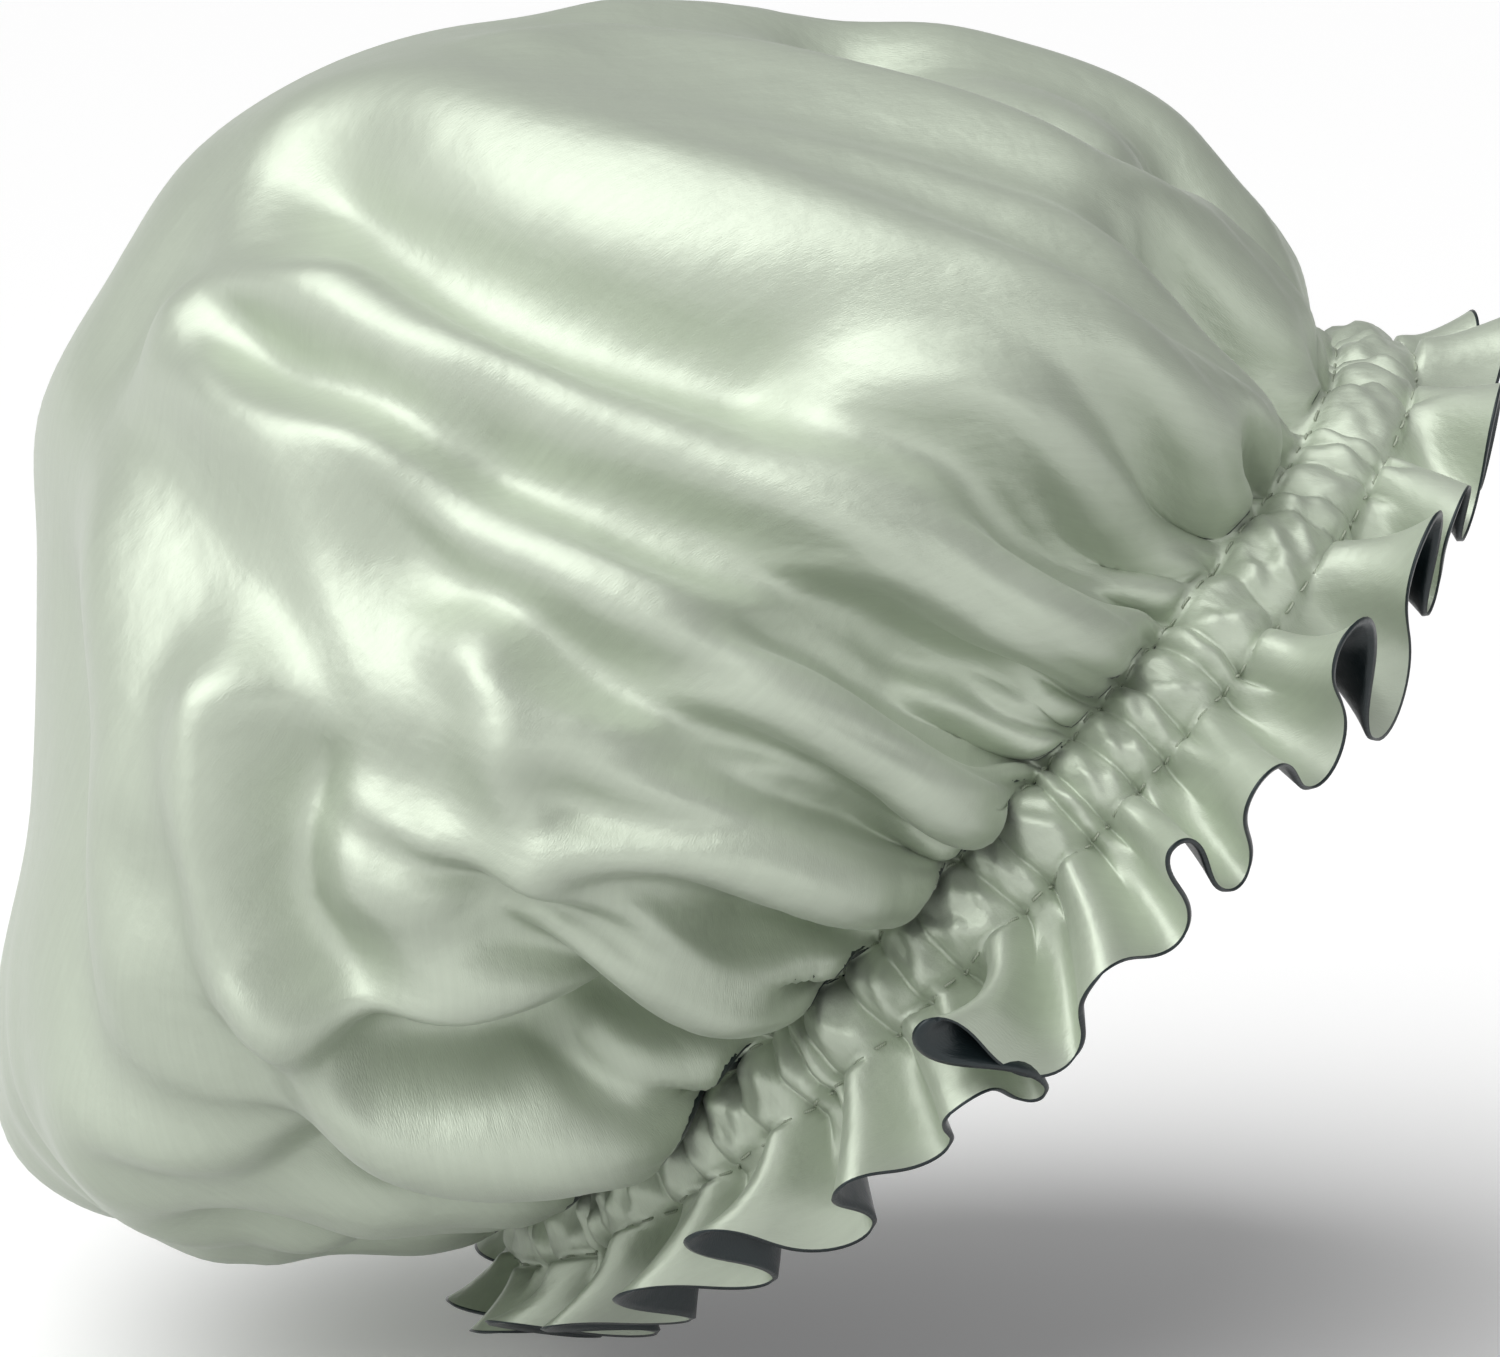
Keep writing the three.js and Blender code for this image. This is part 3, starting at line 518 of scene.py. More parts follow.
def crown(shape, number, share):
    """The crown as drawn: the bag with its main folds, sunk a little beside the stitches, and with gathers
    that leave the stitches as pleats and merge into fewer and broader ones. Each order of pleats is a
    cosine of the flute number, which wanders, times a hump over the share of the way."""
    angle = flute_value(0, number)
    point = bag(shape, angle, share)
    normal = bag_normal(shape, angle, share)
    loose = 1 - np.exp(-((share / FOLDS_FROM) ** 1.5))
    gather = -shape.pucker * (0.4 * np.exp(-share / 0.04) + 0.3 * humped(share, 0.1))
    for pleats, seed, rise, top in PLEATS:
        wave = np.cos(TURN * (pleats * number + 0.3 * wander(number, seed)))
        gather += wave * humped(share, top) * rise * shape.pucker * (0.65 + 0.35 * wander(number, seed + 1))
    folds = fold_shift(shape, point, normal) * loose[..., None]
    return point + folds + rim_turned(angle, share, normal) * gather[..., None]


def fine_pleats(shape, number, share):
    """How far the finest pleats of the crown rise: the casing's puffs, run on past the stitches and dying
    away, the broad ones last."""
    puff, breadth = puffs(number + 0.1 * wander(number, 12) * np.minimum(share / 0.05, 1))
    return shape.pucker * puff * np.exp(-((share / (0.035 + 0.06 * breadth)) ** 1.2))


def casing(shape, number, share, side):
    """The casing: a cone that follows the flare, raised over the elastic by a bump across it, a power of a
    half wave of the sine. Puffs along it and a crumple, a sum of many askew waves, add to the bump, and the
    puffs go on over both rows, where the cloth is drawn in. Side is 1 for the outer satin and -1 for the
    lining."""
    angle = flute_value(0, number)
    out, down = slope(angle, CASING_FLARE)
    length = share * shape.casing
    puff, _ = puffs(number + 0.12 * wander(number, 31) * share)
    bump = np.sin(math.pi * np.clip(share, 0, 1)) ** 0.55
    crumple = sum(wander(number + askew * share, seed, waves) for askew, seed, waves in CRUMPLES)
    crumple = np.clip(0.5 + 0.4 * crumple, 0, 1.2)
    over = shape.casing_rise + shape.pucker * (0.65 * puff + 0.28 * crumple)
    rise = side * bump * over + shape.pucker * (puff - 0.4) * (1 - bump)
    return ring_place(angle, shape.opening_radius + length * out + rise * down, -length * down + rise * out)


def flute_paths(number, share):
    """The flutes of each ring as a path whose direction swings to either side of the ring's. For each
    column: its way along in flutes and how far it has fallen from the crest, in pitches; for each flute,
    its depth. The swing grows towards the hem, by each flute's share."""
    columns = len(number) // FLUTE_COUNT
    least, gain = FLUTE_SWING
    most = np.radians(least + gain * share**0.55)[:, None] * flute_value(1, number + 0.5 / columns)
    turn = (most * np.sin(TURN * (number + 0.5 / columns))).reshape(len(share), FLUTE_COUNT, columns)
    way = np.cumsum(np.cos(turn), 2)
    fall = np.cumsum(np.sin(turn), 2)
    even = np.arange(1, columns + 1) / columns
    fall -= fall[:, :, -1:] * even
    whole = way[:, :, -1:]
    depth = fall.max(2) / whole[:, :, 0]
    start = np.zeros_like(whole)
    way = np.concatenate([start, way[:, :, :-1]], 2) / whole
    fall = np.concatenate([start, fall[:, :, :-1]], 2) / whole
    return way, fall, depth


def ruffle(shape, columns, share):
    """The ruffle: flutes along a cone that follows the flare. Towards the hem each flute leans out by its
    lean and stands askew by its skew. It starts with the casing's puffs, which fade as a bell."""
    plain = np.arange(FLUTE_COUNT * columns) / columns
    way, fall, depth = flute_paths(plain, share)
    number = (np.arange(FLUTE_COUNT)[None, :, None] + way).reshape(len(share), -1)
    middle = (depth + np.roll(depth, 1, 1)) / 2
    ease = 0.5 - 0.5 * np.cos(math.pi * np.arange(columns) / columns)
    level = middle[:, :, None] + (np.roll(middle, -1, 1) - middle)[:, :, None] * ease
    height = (level / 2 - fall).reshape(len(share), -1)
    q = share[:, None]
    angle = flute_value(0, number)
    angle = angle + np.radians(flute_value(3, plain) + HANG * np.sin(angle)) * q**1.3
    base_out, base_down = slope(angle, CASING_FLARE)
    out, down = slope(angle, RUFFLE_FLARE)
    lean = np.arctan2(out, down) + np.radians(flute_value(2, plain)) * q**1.5 * LEAN_SHARE
    out, down = np.sin(lean), np.cos(lean)
    pitch = TURN / FLUTE_COUNT * (shape.opening_radius + shape.casing * base_out)
    puff, _ = puffs(plain + 0.12 * wander(plain, 31))
    rise = height * pitch + shape.pucker * (puff - 0.4) * np.exp(-((q / 0.3) ** 2))
    shorter = SHORTER_ENDS * np.cos(angle) ** 2 + SHORTER_NAPE * ((1 - np.cos(angle)) / 2) ** 3
    length = q * shape.ruffle * (1 - shorter)
    radius = shape.opening_radius + shape.casing * base_out + length * out + rise * down
    return ring_place(angle, radius, -shape.casing * base_down - length * down + rise * out)


def crown_radius(shape):
    """The way along the cloth from the crown-side stitches to the pole."""
    return shape.cloth_radius - shape.casing - shape.ruffle


def relaxed(shape, points, shares, fullness, end_share, rounds):
    """The crown after rounds of a simple cloth solver, which runs on its grid from its drawn shape. Threads
    along the cloth keep their drawn length, and those round it grow to the length that they have in the
    flat cut, up to a cap, so what the drawn folds lack in fullness buckles into them. Longer links stop the
    cloth from doubling up, as its stiffness does, and a weak pull keeps it near the drawn shape. The first
    ring is sewn and stays, and beside it the cap is low."""
    radius = crown_radius(shape) * (1 - shares)
    drawn = np.linalg.norm(np.roll(points, -1, 1) - points, axis=-1)
    cap = 1 + fullness * np.clip(1 - shares / end_share, 0, 1) * (1 - 0.85 * np.exp(-shares / 0.07))
    fuller = np.clip(TURN * radius / points.shape[1] / drawn.mean(1), 1, cap)
    ring = averaged(drawn, 12, 1) * fuller[:, None]
    place = points.astype(np.float32)
    target = place.copy()
    links = []
    for rows, columns, stiffness, least in CLOTH_LINKS:
        end = len(shares) - rows
        along = np.linalg.norm(points[rows:] - points[:end], axis=-1)
        across = (ring[:end] + ring[rows:]) / 2 * columns
        rest = np.hypot(along * bool(rows), across).astype(np.float32)
        links.append((rows, columns, end, np.float32(stiffness), least, rest))
    for _ in range(rounds):
        push = np.zeros_like(place)
        for rows, columns, end, stiffness, least, rest in links:
            other = np.roll(place, -columns, 1)[rows:]
            span = other - place[:end]
            length = np.sqrt(np.einsum("ijk,ijk->ij", span, span)) + np.float32(1e-9)
            off = 1 - rest / length
            if least:
                off = np.minimum(1 - least * rest / length, 0)
            span *= (off * stiffness)[..., None]
            push[:end] += span
            push[rows:] -= np.roll(span, columns, 1)
        push[0] = 0
        place += push + (target - place) * np.float32(TARGET_PULL)
    return place.astype(float)


def averaged(grid, rounds, *axes):
    """A grid averaged with its neighbours on each side, for some rounds, its end rows kept where they have
    only one neighbour. Axis 1 runs round the opening and axis 0 along the cloth."""
    grid = grid.copy()
    for _ in range(rounds):
        if 1 in axes:
            grid = grid / 2 + (np.roll(grid, 1, 1) + np.roll(grid, -1, 1)) / 4
        if 0 in axes:
            grid[1:-1] = grid[1:-1] / 2 + (grid[:-2] + grid[2:]) / 4
    return grid


def between(grid, axis, closed):
    """A grid with a point added between each two along an axis, on the cubic through its neighbours."""
    grid = np.moveaxis(grid, axis, 0)
    before, after, far = np.roll(grid, 1, 0), np.roll(grid, -1, 0), np.roll(grid, -2, 0)
    middle = (9 * (grid + after) - before - far) / 16
    if not closed:
        middle[0], middle[-2] = (grid[0] + grid[1]) / 2, (grid[-2] + grid[-1]) / 2
    made = np.stack([grid, middle], 1).reshape(-1, *grid.shape[1:])
    if not closed:
        made = made[:-1]
    return np.moveaxis(made, 0, axis)


def grid_normals(points):
    """Unit normals of a ring grid, from its differences round and along, outwards."""
    around = np.roll(points, -1, 1) - np.roll(points, 1, 1)
    along = np.gradient(points, axis=0)
    return unit(np.cross(around, along))


def crown_cloth(shape, numbers, shares, first_ring):
    """The crown's grid as it hangs: the drawn crown, then what the cloth solver moves, from coarse to fine,
    averaged except near the stitches, and last the finest pleats. Beside the stitches most of what the
    solver moves sideways is left out, so that the cloth doesn't turn over there."""
    number, share = np.meshgrid(numbers, shares)
    angle = flute_value(0, number)
    drawn = crown(shape, number, share)
    drawn[0] = first_ring
    cloth = drawn.copy()
    for step, fullness, end_share, rounds in SOLVER_LEVELS:
        coarse = cloth[::step, ::step]
        moved = relaxed(shape, coarse, shares[::step], fullness, end_share, rounds) - coarse
        while step > 1:
            moved = between(between(moved, 0, False), 1, True)
            step //= 2
        cloth += moved * (1 - np.exp(-((shares / SOLVER_FROM) ** 2)))[:, None, None]
    outwards = rim_turned(angle, share, bag_normal(shape, angle, share))
    moved = cloth - drawn
    rise = (moved * outwards).sum(-1, keepdims=True) * outwards
    moved = rise + (moved - rise) * (1 - 0.75 * np.exp(-share / 0.12))[..., None]
    first, last = CALM_SHARES
    calm = np.clip((shares - first) / (last - first), 0, 1)[:, None, None]
    cloth = drawn + moved + (averaged(moved, MOVED_ROUNDS, 0, 1) - moved) * calm
    cloth += (averaged(cloth, CLOTH_ROUNDS, 0, 1) - cloth) * calm
    outwards = rim_turned(angle, share, grid_normals(cloth))
    cloth[1:] += (outwards * fine_pleats(shape, number, share)[..., None])[1:]
    return cloth


def edge_rings(shape):
    """The ruffle's and the casing's rings as one block, hem first: (points, cloth radius of each ring)."""
    numbers = np.arange(FLUTE_COUNT * FLUTE_COLUMNS) / FLUTE_COLUMNS
    hem_shares = np.linspace(1, 0, RUFFLE_RINGS + 1)[:-1]
    band_shares = np.linspace(1, 0, CASING_RINGS)
    band = casing(shape, *np.meshgrid(numbers, band_shares), 1)
    way = np.concatenate([shape.casing + shape.ruffle * hem_shares, shape.casing * band_shares])
    return np.concatenate([ruffle(shape, FLUTE_COLUMNS, hem_shares), band]), crown_radius(shape) + way


def cloth_rings(shape):
    """The outer satin as blocks of rings, hem first. Each block is (points, cloth radius of each ring)."""
    edge, edge_radius = edge_rings(shape)
    numbers = np.arange(FLUTE_COUNT * FLUTE_COLUMNS) / FLUTE_COLUMNS
    low_shares = COARSE_FROM * np.linspace(0, 1, LOW_RINGS) ** RING_GROWTH
    high_shares = np.linspace(COARSE_FROM, 1, HIGH_RINGS + 2)[1:-1]
    cloth = crown_cloth(shape, numbers[::2], np.concatenate([low_shares, high_shares]), edge[-1, ::2])
    radius = crown_radius(shape)
    return [
        (edge, edge_radius),
        (cloth[1:LOW_RINGS], radius * (1 - low_shares[1:])),
        (cloth[LOW_RINGS:, ::2], radius * (1 - high_shares)),
    ]


def lining_rings(shape, blocks):
    """The lining: the outer satin's rings moved in along their normals by the gap. Its first ring is the
    edge of the outer satin's hem and the next a small roll past it. Over the elastic it bulges the other
    way, and in the crown it hangs looser, by a slack that sets in over its rings."""
    made = []
    for i, (block, radius) in enumerate(blocks):
        numbers = np.arange(block.shape[1]) * FLUTE_COUNT / block.shape[1]
        outwards = unit(averaged(grid_normals(block), NORMAL_ROUNDS[i], 1))
        if i == 1:
            share = np.broadcast_to(1 - radius[:, None] / crown_radius(shape), block.shape[:2])
            outwards = rim_turned(flute_value(0, numbers), share, outwards, LINING_RIM_REACH)
        inner = block - outwards * shape.layer_gap
        if i == 0:
            band_shares = np.linspace(1, 0, CASING_RINGS)[1:-1]
            inner[-CASING_RINGS + 1:-1] = casing(shape, *np.meshgrid(numbers, band_shares), -1)
            lip = block[:1] + unit(block[:1] - block[1:2]) * shape.hem_roll
            inner = np.concatenate([block[:1], lip, inner], 0)
            radius = np.concatenate([radius[:1], radius[:1], radius])
        else:
            rows = np.arange(len(block)) if i == 1 else np.full(len(block), np.inf)
            looser = (1 - np.exp(-((rows / SLACK_RINGS) ** 2)))[:, None, None]
            slack_ways = unit(averaged(grid_normals(block), SLACK_ROUNDS, 0, 1))
            inner -= slack_ways * shape.lining_slack * looser
        made.append((inner, radius))
    return made


def block_faces(first, rings, columns):
    """Quads between the rings of one block, whose first vertex has the number first."""
    r, c = np.meshgrid(np.arange(rings - 1), np.arange(columns), indexing="ij")
    a = first + r * columns + c
    b = first + r * columns + (c + 1) % columns
    return np.stack([a, b, b + columns, a + columns], -1).reshape(-1, 4)


def halving_faces(fine_first, fine_columns, coarse_first):
    """Three triangles for each column of a coarse ring over two columns of the fine ring below it."""
    c = np.arange(fine_columns // 2)
    a, b = fine_first + 2 * c, fine_first + 2 * c + 1
    e = fine_first + (2 * c + 2) % fine_columns
    d, f = coarse_first + c, coarse_first + (c + 1) % (fine_columns // 2)
    return np.concatenate([np.stack(t, -1) for t in ((a, b, d), (b, f, d), (b, e, f))])


def cloth_mesh(shape, name, blocks, outward):
    """A mesh of the cloth from its blocks of rings, with a pole, a UV map of its place on the flat circle,
    and faces that look outwards or inwards."""
    points, cut, quads, triangles = [], [], [], []
    start = 0
    last = None
    for block, radius in blocks:
        rings, columns = block.shape[:2]
        if last is not None:
            triangles.append(halving_faces(last[0], last[1], start))
        quads.append(block_faces(start, rings, columns))
        angle = flute_value(0, np.arange(columns) * FLUTE_COUNT / columns)
        cut.append(ring_place(angle, radius[:, None], np.zeros((rings, columns)))[..., :2].reshape(-1, 2))
        points.append(block.reshape(-1, 3))
        last = (start + (rings - 1) * columns, columns)
        start += rings * columns
    points.append(blocks[-1][0][-1].mean(0)[None])
    cut.append(np.zeros((1, 2)))
    c = np.arange(last[1])
    triangles.append(np.stack([last[0] + c, last[0] + (c + 1) % last[1], np.full(last[1], start)], -1))
    quads, triangles = np.concatenate(quads), np.concatenate(triangles)
    if not outward:
        quads, triangles = quads[:, ::-1], triangles[:, ::-1]
    obj = mesh_object(name, tilt_back(shape, np.concatenate(points)), quads, triangles)
    uv = obj.data.uv_layers.new(name="cut")
    corner = np.empty(len(obj.data.loops), np.int32)
    obj.data.loops.foreach_get("vertex_index", corner)
    uv.data.foreach_set("uv", np.concatenate(cut)[corner].ravel())
    return obj


def mesh_object(name, points, quads, triangles):
    """An object at the origin from points, quads and triangles, shaded smooth."""
    mesh = bpy.data.meshes.new(name)
    corners = np.concatenate([np.asarray(quads, np.int32).ravel(), np.asarray(triangles, np.int32).ravel()])
    sizes = np.concatenate([np.full(len(quads), 4), np.full(len(triangles), 3)]).astype(np.int32)
    mesh.vertices.add(len(points))
    mesh.vertices.foreach_set("co", np.asarray(points, np.float32).ravel())
    mesh.loops.add(len(corners))
    mesh.loops.foreach_set("vertex_index", corners)
    mesh.polygons.add(len(sizes))
    mesh.polygons.foreach_set("loop_start", np.concatenate([[0], np.cumsum(sizes)[:-1]]).astype(np.int32))
    mesh.polygons.foreach_set("loop_total", sizes)
    mesh.update(calc_edges=True)
    mesh.validate()
    mesh.polygons.foreach_set("use_smooth", np.ones(len(sizes), bool))
    obj = bpy.data.objects.new(name, mesh)
    bpy.context.scene.collection.objects.link(obj)
    return obj


def stitch_row(shape, name, ring, normals, count, length, radius, span=(0, 1)):
    """A row of stitches along a closed ring of points. Each is a short thread of three rims between two
    tips, which lies on the cloth, bends with it and dips into it at both ends. Span is the part of the ring
    that has them."""
    steps = np.linalg.norm(np.roll(ring, -1, 0) - ring, axis=1)
    reach = np.concatenate([[0], np.cumsum(steps)])
    middles = reach[-1] * (span[0] + (span[1] - span[0]) * (np.arange(count) + 0.5) / count)
    places = (middles[:, None] + length * np.array([-0.5, -0.36, 0, 0.36, 0.5])) % reach[-1]
    at, normal = [
        np.stack([np.interp(places, reach, np.append(column, column[0])) for column in row.T], -1)
        for row in (ring, normals)
    ]
    normal = unit(normal)
    at = at + normal * (radius * np.array([-0.9, 0.9, 1.3, 0.9, -0.9]))[:, None]
    along = unit(np.gradient(at, axis=1))
    across = unit(np.cross(along, normal))
    turn = TURN * np.arange(STITCH_SIDES)[:, None] / STITCH_SIDES
    rim = normal[:, 1:4, None] * np.cos(turn) + across[:, 1:4, None] * np.sin(turn)
    body = at[:, 1:4, None] + radius * rim
    points = np.concatenate([at[:, :1], body.reshape(count, -1, 3), at[:, 4:]], 1)
    j = np.arange(STITCH_SIDES)
    k = (j + 1) % STITCH_SIDES
    third_rim = 2 * STITCH_SIDES + 1
    first_cap = np.stack([0 * j, k + 1, j + 1], -1)
    last_cap = np.stack([third_rim + j, third_rim + k, 0 * j + third_rim + STITCH_SIDES], -1)
    each = points.shape[1] * np.arange(count)[:, None, None]
    quads = (block_faces(1, 3, STITCH_SIDES) + each).reshape(-1, 4)
    triangles = (np.concatenate([first_cap, last_cap]) + each).reshape(-1, 3)
    return mesh_object(name, tilt_back(shape, points.reshape(-1, 3)), quads, triangles)


def set_inputs(node, inputs):
    """Sets a node's inputs, by name or number. A value that is another node's output is linked."""
    for name, value in inputs.items():
        if isinstance(value, bpy.types.NodeSocket):
            node.id_data.links.new(value, node.inputs[name])
        else:
            node.inputs[name].default_value = value


def add_node(material, kind, inputs):
    """A new node in a material, with its inputs set."""
    node = material.node_tree.nodes.new("ShaderNode" + kind)
    set_inputs(node, inputs)
    return node


def new_material(name):
    """A new material and its Principled shader, which its output shows."""
    material = bpy.data.materials.new(name)
    material.use_nodes = True
    material.node_tree.nodes.clear()
    shader = add_node(material, "BsdfPrincipled", {})
    add_node(material, "OutputMaterial", {"Surface": shader.outputs["BSDF"]})
    return material, shader


def noise(material, vector, scale, detail):
    """The value of a noise on a vector."""
    inputs = {"Vector": vector, "Scale": scale, "Detail": detail}
    return add_node(material, "TexNoise", inputs).outputs["Fac"]


def stretched(material, vector, scale):
    """A vector scaled by its own amount along each axis."""
    return add_node(material, "Mapping", {"Vector": vector, "Scale": scale}).outputs["Vector"]


def bumped(material, inputs):
    """The normal of a bump."""
    return add_node(material, "Bump", inputs).outputs["Normal"]


def shaded(colour, share):
    """A colour with each part times a share."""
    return (*[min(1, part * share) for part in colour], 1)


def toned(material, factor, dark, light):
    """A tone between two colours, by a factor."""
    tone = add_node(material, "Mix", {})
    tone.data_type = "RGBA"
    set_inputs(tone, {"Factor": factor, "A": dark, "B": light})
    return tone.outputs["Result"]


def satin(name, colour, roughness, metallic):
    """Satin: long floats of thread along one way of the cut, with a fine twill bump, slubs that change its
    tone, floats that change its gloss a little, soft rumples, and a highlight stretched across the
    floats."""
    material, shader = new_material(name)
    cut = add_node(material, "UVMap", {})
    cut.uv_map = "cut"
    place = cut.outputs["UV"]
    floats = noise(material, stretched(material, place, (900, 4200, 1)), 1, 2)
    slubs = noise(material, stretched(material, place, (40, 900, 1)), 1, 3)
    gloss = add_node(material, "MapRange", {
        "Value": floats,
        "To Min": roughness - 0.02,
        "To Max": roughness + 0.02,
    })
    rumples = bumped(material, {"Height": noise(material, place, 70, 3), "Strength": 1, "Distance": 0.0007})
    weave = bumped(material, {"Height": floats, "Strength": 0.6, "Distance": 0.0001, "Normal": rumples})
    tangent = add_node(material, "Tangent", {})
    tangent.direction_type = "UV_MAP"
    tangent.uv_map = "cut"
    set_inputs(shader, {
        "Base Color": toned(material, slubs, shaded(colour, 0.95), shaded(colour, 1.05)),
        "Roughness": gloss.outputs["Result"],
        "Metallic": metallic,
        "Normal": weave,
        "Tangent": tangent.outputs["Tangent"],
        "Anisotropic": 0.4,
        "Sheen Weight": 0.15,
        "Sheen Roughness": 0.4,
    })
    return material


def thread(name, colour):
    """Sewing thread: a fine twist that changes its tone, and a soft gloss."""
    material, shader = new_material(name)
    place = add_node(material, "TexCoord", {}).outputs["Object"]
    twist = add_node(material, "TexWave", {"Vector": place, "Scale": 900, "Distortion": 2}).outputs["Fac"]
    tone = toned(material, twist, shaded(colour, 0.75), shaded(colour, 1))
    set_inputs(shader, {"Base Color": tone, "Roughness": 0.5})
    return material


def woven_elastic(name, colour):
    """Flat elastic: a fine weave that changes its tone and stands out, matt."""
    material, shader = new_material(name)
    weave = noise(material, add_node(material, "TexCoord", {}).outputs["Object"], 1400, 2)
    set_inputs(shader, {
        "Base Color": toned(material, weave, shaded(colour, 0.8), shaded(colour, 1)),
        "Roughness": 0.85,
        "Normal": bumped(material, {"Height": weave, "Strength": 0.5, "Distance": 0.0002}),
    })
    return material


def stage_material(name, colour, glow):
    """A matt surface of the stage. Camera, glossy and transmission rays see its colour and its glow, so
    that it reads as white and still takes the shadow. To the rest of the light it is a darker grey, which
    keeps the folds' undersides dark."""
    material, shader = new_material(name)
    set_inputs(shader, {
        "Base Color": (*colour, 1),
        "Roughness": 0.9,
        "Specular IOR Level": 0,
        "Emission Color": (1, 1, 1, 1),
        "Emission Strength": glow,
    })
    dull = add_node(material, "BsdfDiffuse", {"Color": (0.26, 0.26, 0.26, 1)})
    path = add_node(material, "LightPath", {})
    seen = path.outputs["Is Camera Ray"]
    for ray in ("Is Glossy Ray", "Is Transmission Ray"):
        either = add_node(material, "Math", {0: seen, 1: path.outputs[ray]})
        either.operation = "MAXIMUM"
        seen = either.outputs["Value"]
    mix = add_node(material, "MixShader", {"Fac": seen, 1: dull.outputs["BSDF"], 2: shader.outputs["BSDF"]})
    set_inputs(material.node_tree.nodes["Material Output"], {"Surface": mix.outputs["Shader"]})
    return material


def give_material(obj, material):
    """Puts one material on an object in place of what it had."""
    obj.data.materials.clear()
    obj.data.materials.append(material)


class BONNET_OT_camera(bpy.types.Operator):
    """Make the camera, level with the bonnet's side and a little above it"""

    bl_idname = "bonnet.camera"
    bl_label = "Camera"

    def execute(self, context):
        data = bpy.data.cameras.new("camera")
        data.sensor_width = SENSOR_WIDTH
        data.lens = PHOTO_LENS
        camera = bpy.data.objects.new("camera", data)
        camera.location = photo_axes()[0]
        camera.rotation_euler = (math.pi / 2 - PHOTO_ELEVATION, 0, 0)
        context.scene.collection.objects.link(camera)
        context.scene.camera = camera
        return {"FINISHED"}


class BONNET_OT_satins(bpy.types.Operator):
    """Make the two circles of satin, gathered and sewn back to back"""

    bl_idname = "bonnet.satins"
    bl_label = "Outer satin and lining"

    def execute(self, context):
        shape, colours = context.scene.bonnet_shape, context.scene.bonnet_colours
        blocks = cloth_rings(shape)
        outer = cloth_mesh(shape, "outer_satin", blocks, True)
        give_material(outer, satin("sage_satin", colours.satin, 0.45, 0.42))
        lining = cloth_mesh(shape, "lining_satin", lining_rings(shape, blocks), False)
        give_material(lining, satin("dark_satin", colours.lining, 0.34, 0.2))
        for piece, slot, nodes in (
            (outer, "outer_satin", ("outer_crown", "outer_casing_band", "outer_ruffle")),
            (lining, "lining_satin", ("lining_crown", "lining_casing_band", "lining_ruffle")),
        ):
            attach(piece, "root")
            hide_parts(*nodes)
        return {"FINISHED"}


class BONNET_OT_threads(bpy.types.Operator):
    """Make the casing's two rows of stitches, the hem's seam and the stitches of the turning gap"""

    bl_idname = "bonnet.threads"
    bl_label = "Stitches and seams"

    def execute(self, context):
        shape, colours = context.scene.bonnet_shape, context.scene.bonnet_colours
        band = edge_rings(shape)[0]
        normals = grid_normals(band)
        seam = band[1] - normals[1] * shape.layer_gap / 2
        edge = band[0] + unit(band[0] - band[1]) * 0.5 * MM
        sage, dark = thread("sage_thread", colours.thread), thread("dark_thread", colours.dark_thread)
        radius = shape.thread_radius
        for name, node, slot, material, row in (
            ("crown_side_stitches", "crown_side_stitch_row", "sage_thread", sage,
             (band[-1], normals[-1], shape.stitches, 3.0 * MM, radius)),
            ("ruffle_side_stitches", "ruffle_side_stitch_row", "sage_thread", sage,
             (band[-CASING_RINGS], normals[-CASING_RINGS], shape.stitches, 3.0 * MM, radius)),
            ("hem_seam", "hem_seam_thread", "dark_thread", dark,
             (seam, normals[1], 2 * shape.stitches, 2.4 * MM, radius / 2)),
            ("turning_gap_stitches", "turning_gap_stitch", "dark_thread", dark,
             (edge, unit(edge - band[1]), TURNING_GAP_STITCHES, 2.0 * MM, radius, TURNING_GAP_SPAN)),
        ):
            piece = stitch_row(shape, name, *row)
            give_material(piece, material)
            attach(piece, "root")
            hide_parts(node)
        return {"FINISHED"}


class BONNET_OT_elastic(bpy.types.Operator):
    """Give the elastic and the stitches that close it their materials"""

    bl_idname = "bonnet.elastic"
    bl_label = "Elastic"

    def execute(self, context):
        colours = context.scene.bonnet_colours
        give_material(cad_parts["elastic_band"], woven_elastic("woven_elastic", colours.elastic))
        give_material(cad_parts["elastic_join_stitch"], thread("elastic_thread", colours.elastic))
        return {"FINISHED"}


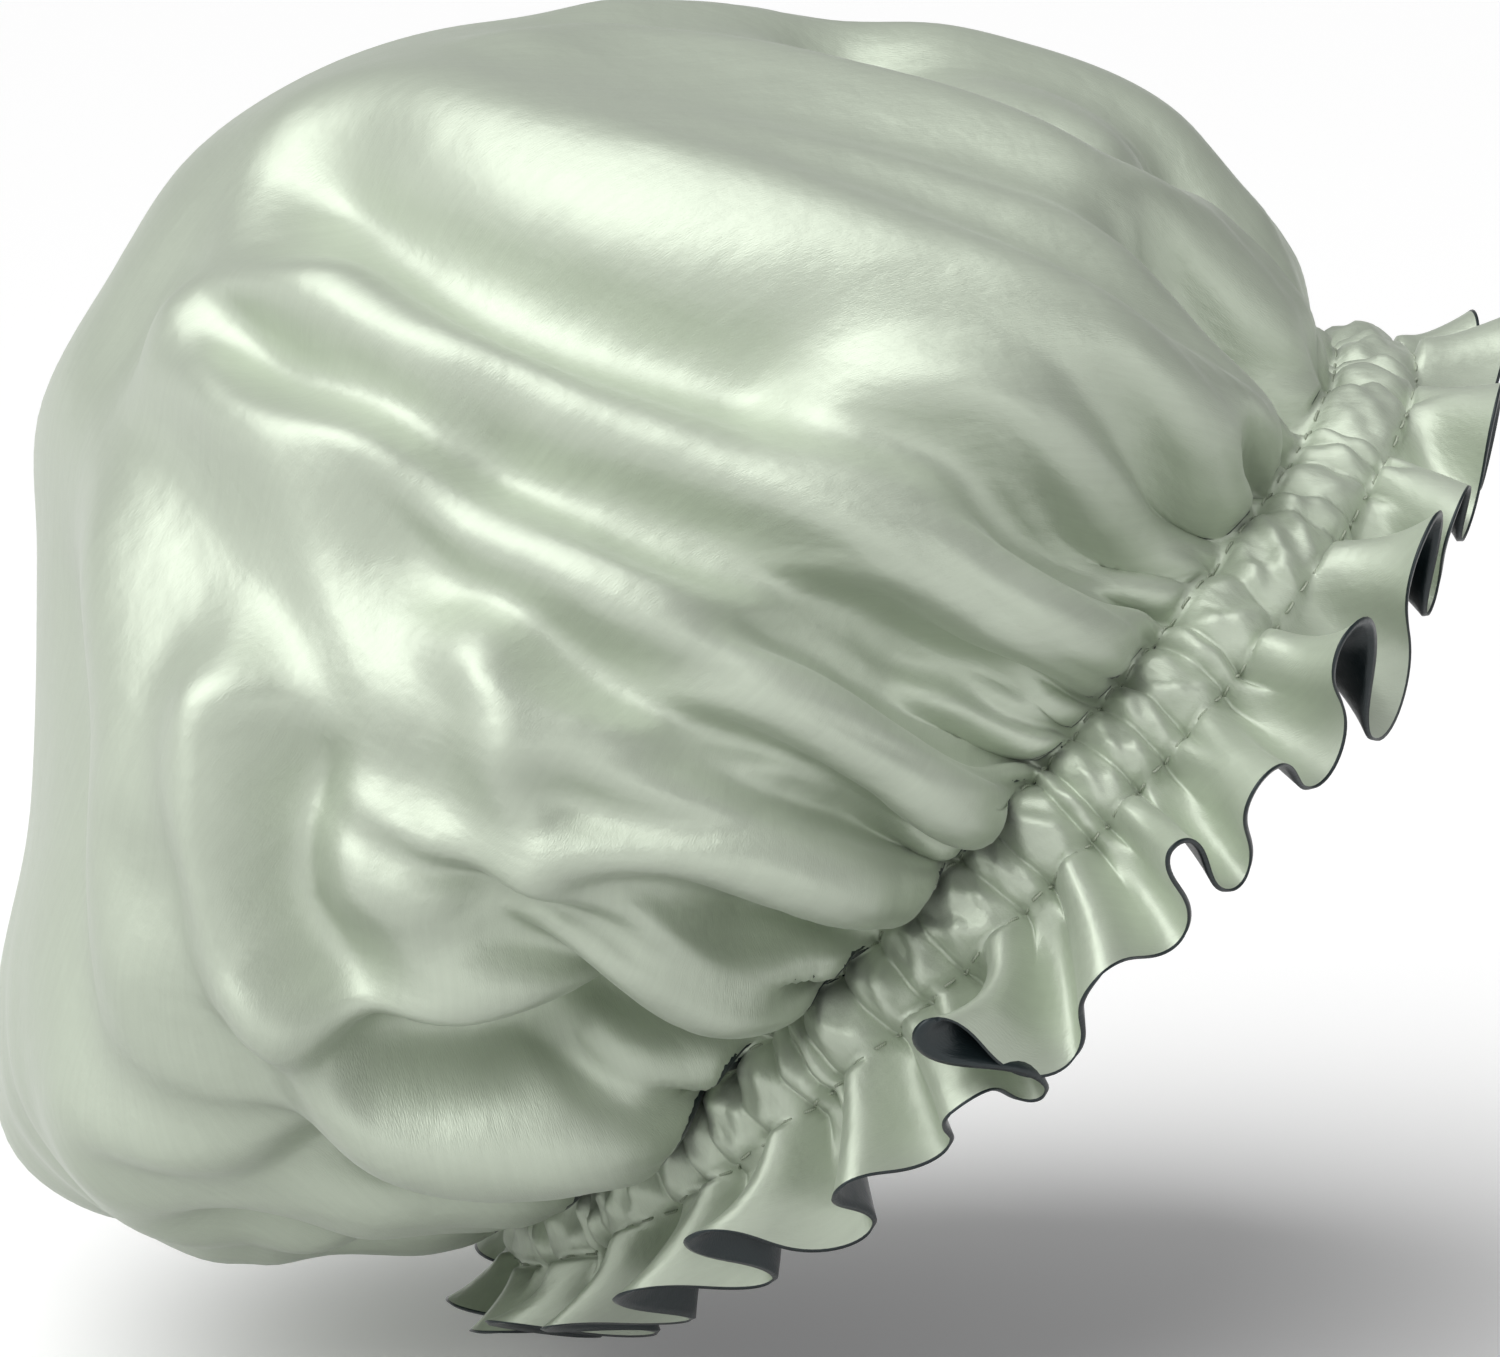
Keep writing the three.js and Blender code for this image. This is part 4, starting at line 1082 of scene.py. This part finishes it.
class BONNET_OT_stage(bpy.types.Operator):
    """Make the pale floor, the white backdrop round it, the soft lamps and the world"""

    bl_idname = "bonnet.stage"
    bl_label = "Stage"

    def execute(self, context):
        colours = context.scene.bonnet_colours
        low = CAD_BOX[0][2] - FLOOR_DROP
        corners = [(x * STAGE_SIZE, y * STAGE_SIZE, low) for x, y in ((-1, -1), (1, -1), (1, 1), (-1, 1))]
        floor = mesh_object("floor", corners, [(0, 1, 2, 3)], NO_TRIANGLES)
        give_material(floor, stage_material("pale_floor", colours.floor, 0.12))
        turn = TURN * np.arange(BACKDROP_SIDES) / BACKDROP_SIDES
        rim = ring_place(turn, STAGE_SIZE / 2, np.full(BACKDROP_SIDES, low))
        walls = np.concatenate([rim, rim + np.array([0, 0, STAGE_SIZE / 10])])
        inward = block_faces(0, 2, BACKDROP_SIDES)[:, ::-1]
        backdrop = mesh_object("backdrop", walls, inward, NO_TRIANGLES)
        give_material(backdrop, stage_material("white_backdrop", (0, 0, 0), 1))
        world = bpy.data.worlds.new("studio")
        world.use_nodes = True
        context.scene.world = world
        background = world.node_tree.nodes["Background"]
        set_inputs(background, {"Color": (1, 1, 1, 1), "Strength": 0.25})
        sun = bpy.data.lights.new("sun", "SUN")
        sun.energy = 2.6
        sun.angle = math.radians(75)
        self.add_lamp(context, sun, SUN_PLACE, (0, 0, 0))
        for name, place, width, height, power, aim in LAMPS:
            lamp = bpy.data.lights.new(name, "AREA")
            lamp.shape = "RECTANGLE"
            lamp.size, lamp.size_y = width, height
            lamp.energy = power
            self.add_lamp(context, lamp, place, aim)
        context.scene.view_settings.view_transform = "Standard"
        return {"FINISHED"}

    @staticmethod
    def add_lamp(context, data, place, aim):
        """Puts a lamp at a place, turned to what it points at."""
        lamp = bpy.data.objects.new(data.name, data)
        lamp.location = place
        lamp.rotation_euler = (Vector(aim) - Vector(place)).to_track_quat("-Z", "Y").to_euler()
        context.scene.collection.objects.link(lamp)


class BONNET_PT_panel(bpy.types.Panel):
    """Lists the steps that make the bonnet"""

    bl_idname = "BONNET_PT_panel"
    bl_label = "Bonnet"
    bl_space_type = "VIEW_3D"
    bl_region_type = "UI"
    bl_category = "Bonnet"

    def draw(self, context):
        for operator in OPERATORS:
            self.layout.operator(operator.bl_idname)


OPERATORS = (BONNET_OT_camera, BONNET_OT_satins, BONNET_OT_threads, BONNET_OT_elastic, BONNET_OT_stage)
CLASSES = (BonnetShape, BonnetColours, *OPERATORS, BONNET_PT_panel)


def register():
    for cls in CLASSES:
        bpy.utils.register_class(cls)
    bpy.types.Scene.bonnet_shape = PointerProperty(type=BonnetShape)
    bpy.types.Scene.bonnet_colours = PointerProperty(type=BonnetColours)


def unregister():
    del bpy.types.Scene.bonnet_colours
    del bpy.types.Scene.bonnet_shape
    for cls in reversed(CLASSES):
        bpy.utils.unregister_class(cls)


def main():
    register()
    bpy.ops.bonnet.camera()
    bpy.ops.bonnet.satins()
    bpy.ops.bonnet.threads()
    bpy.ops.bonnet.elastic()
    bpy.ops.bonnet.stage()


if __name__ == "__main__":
    main()
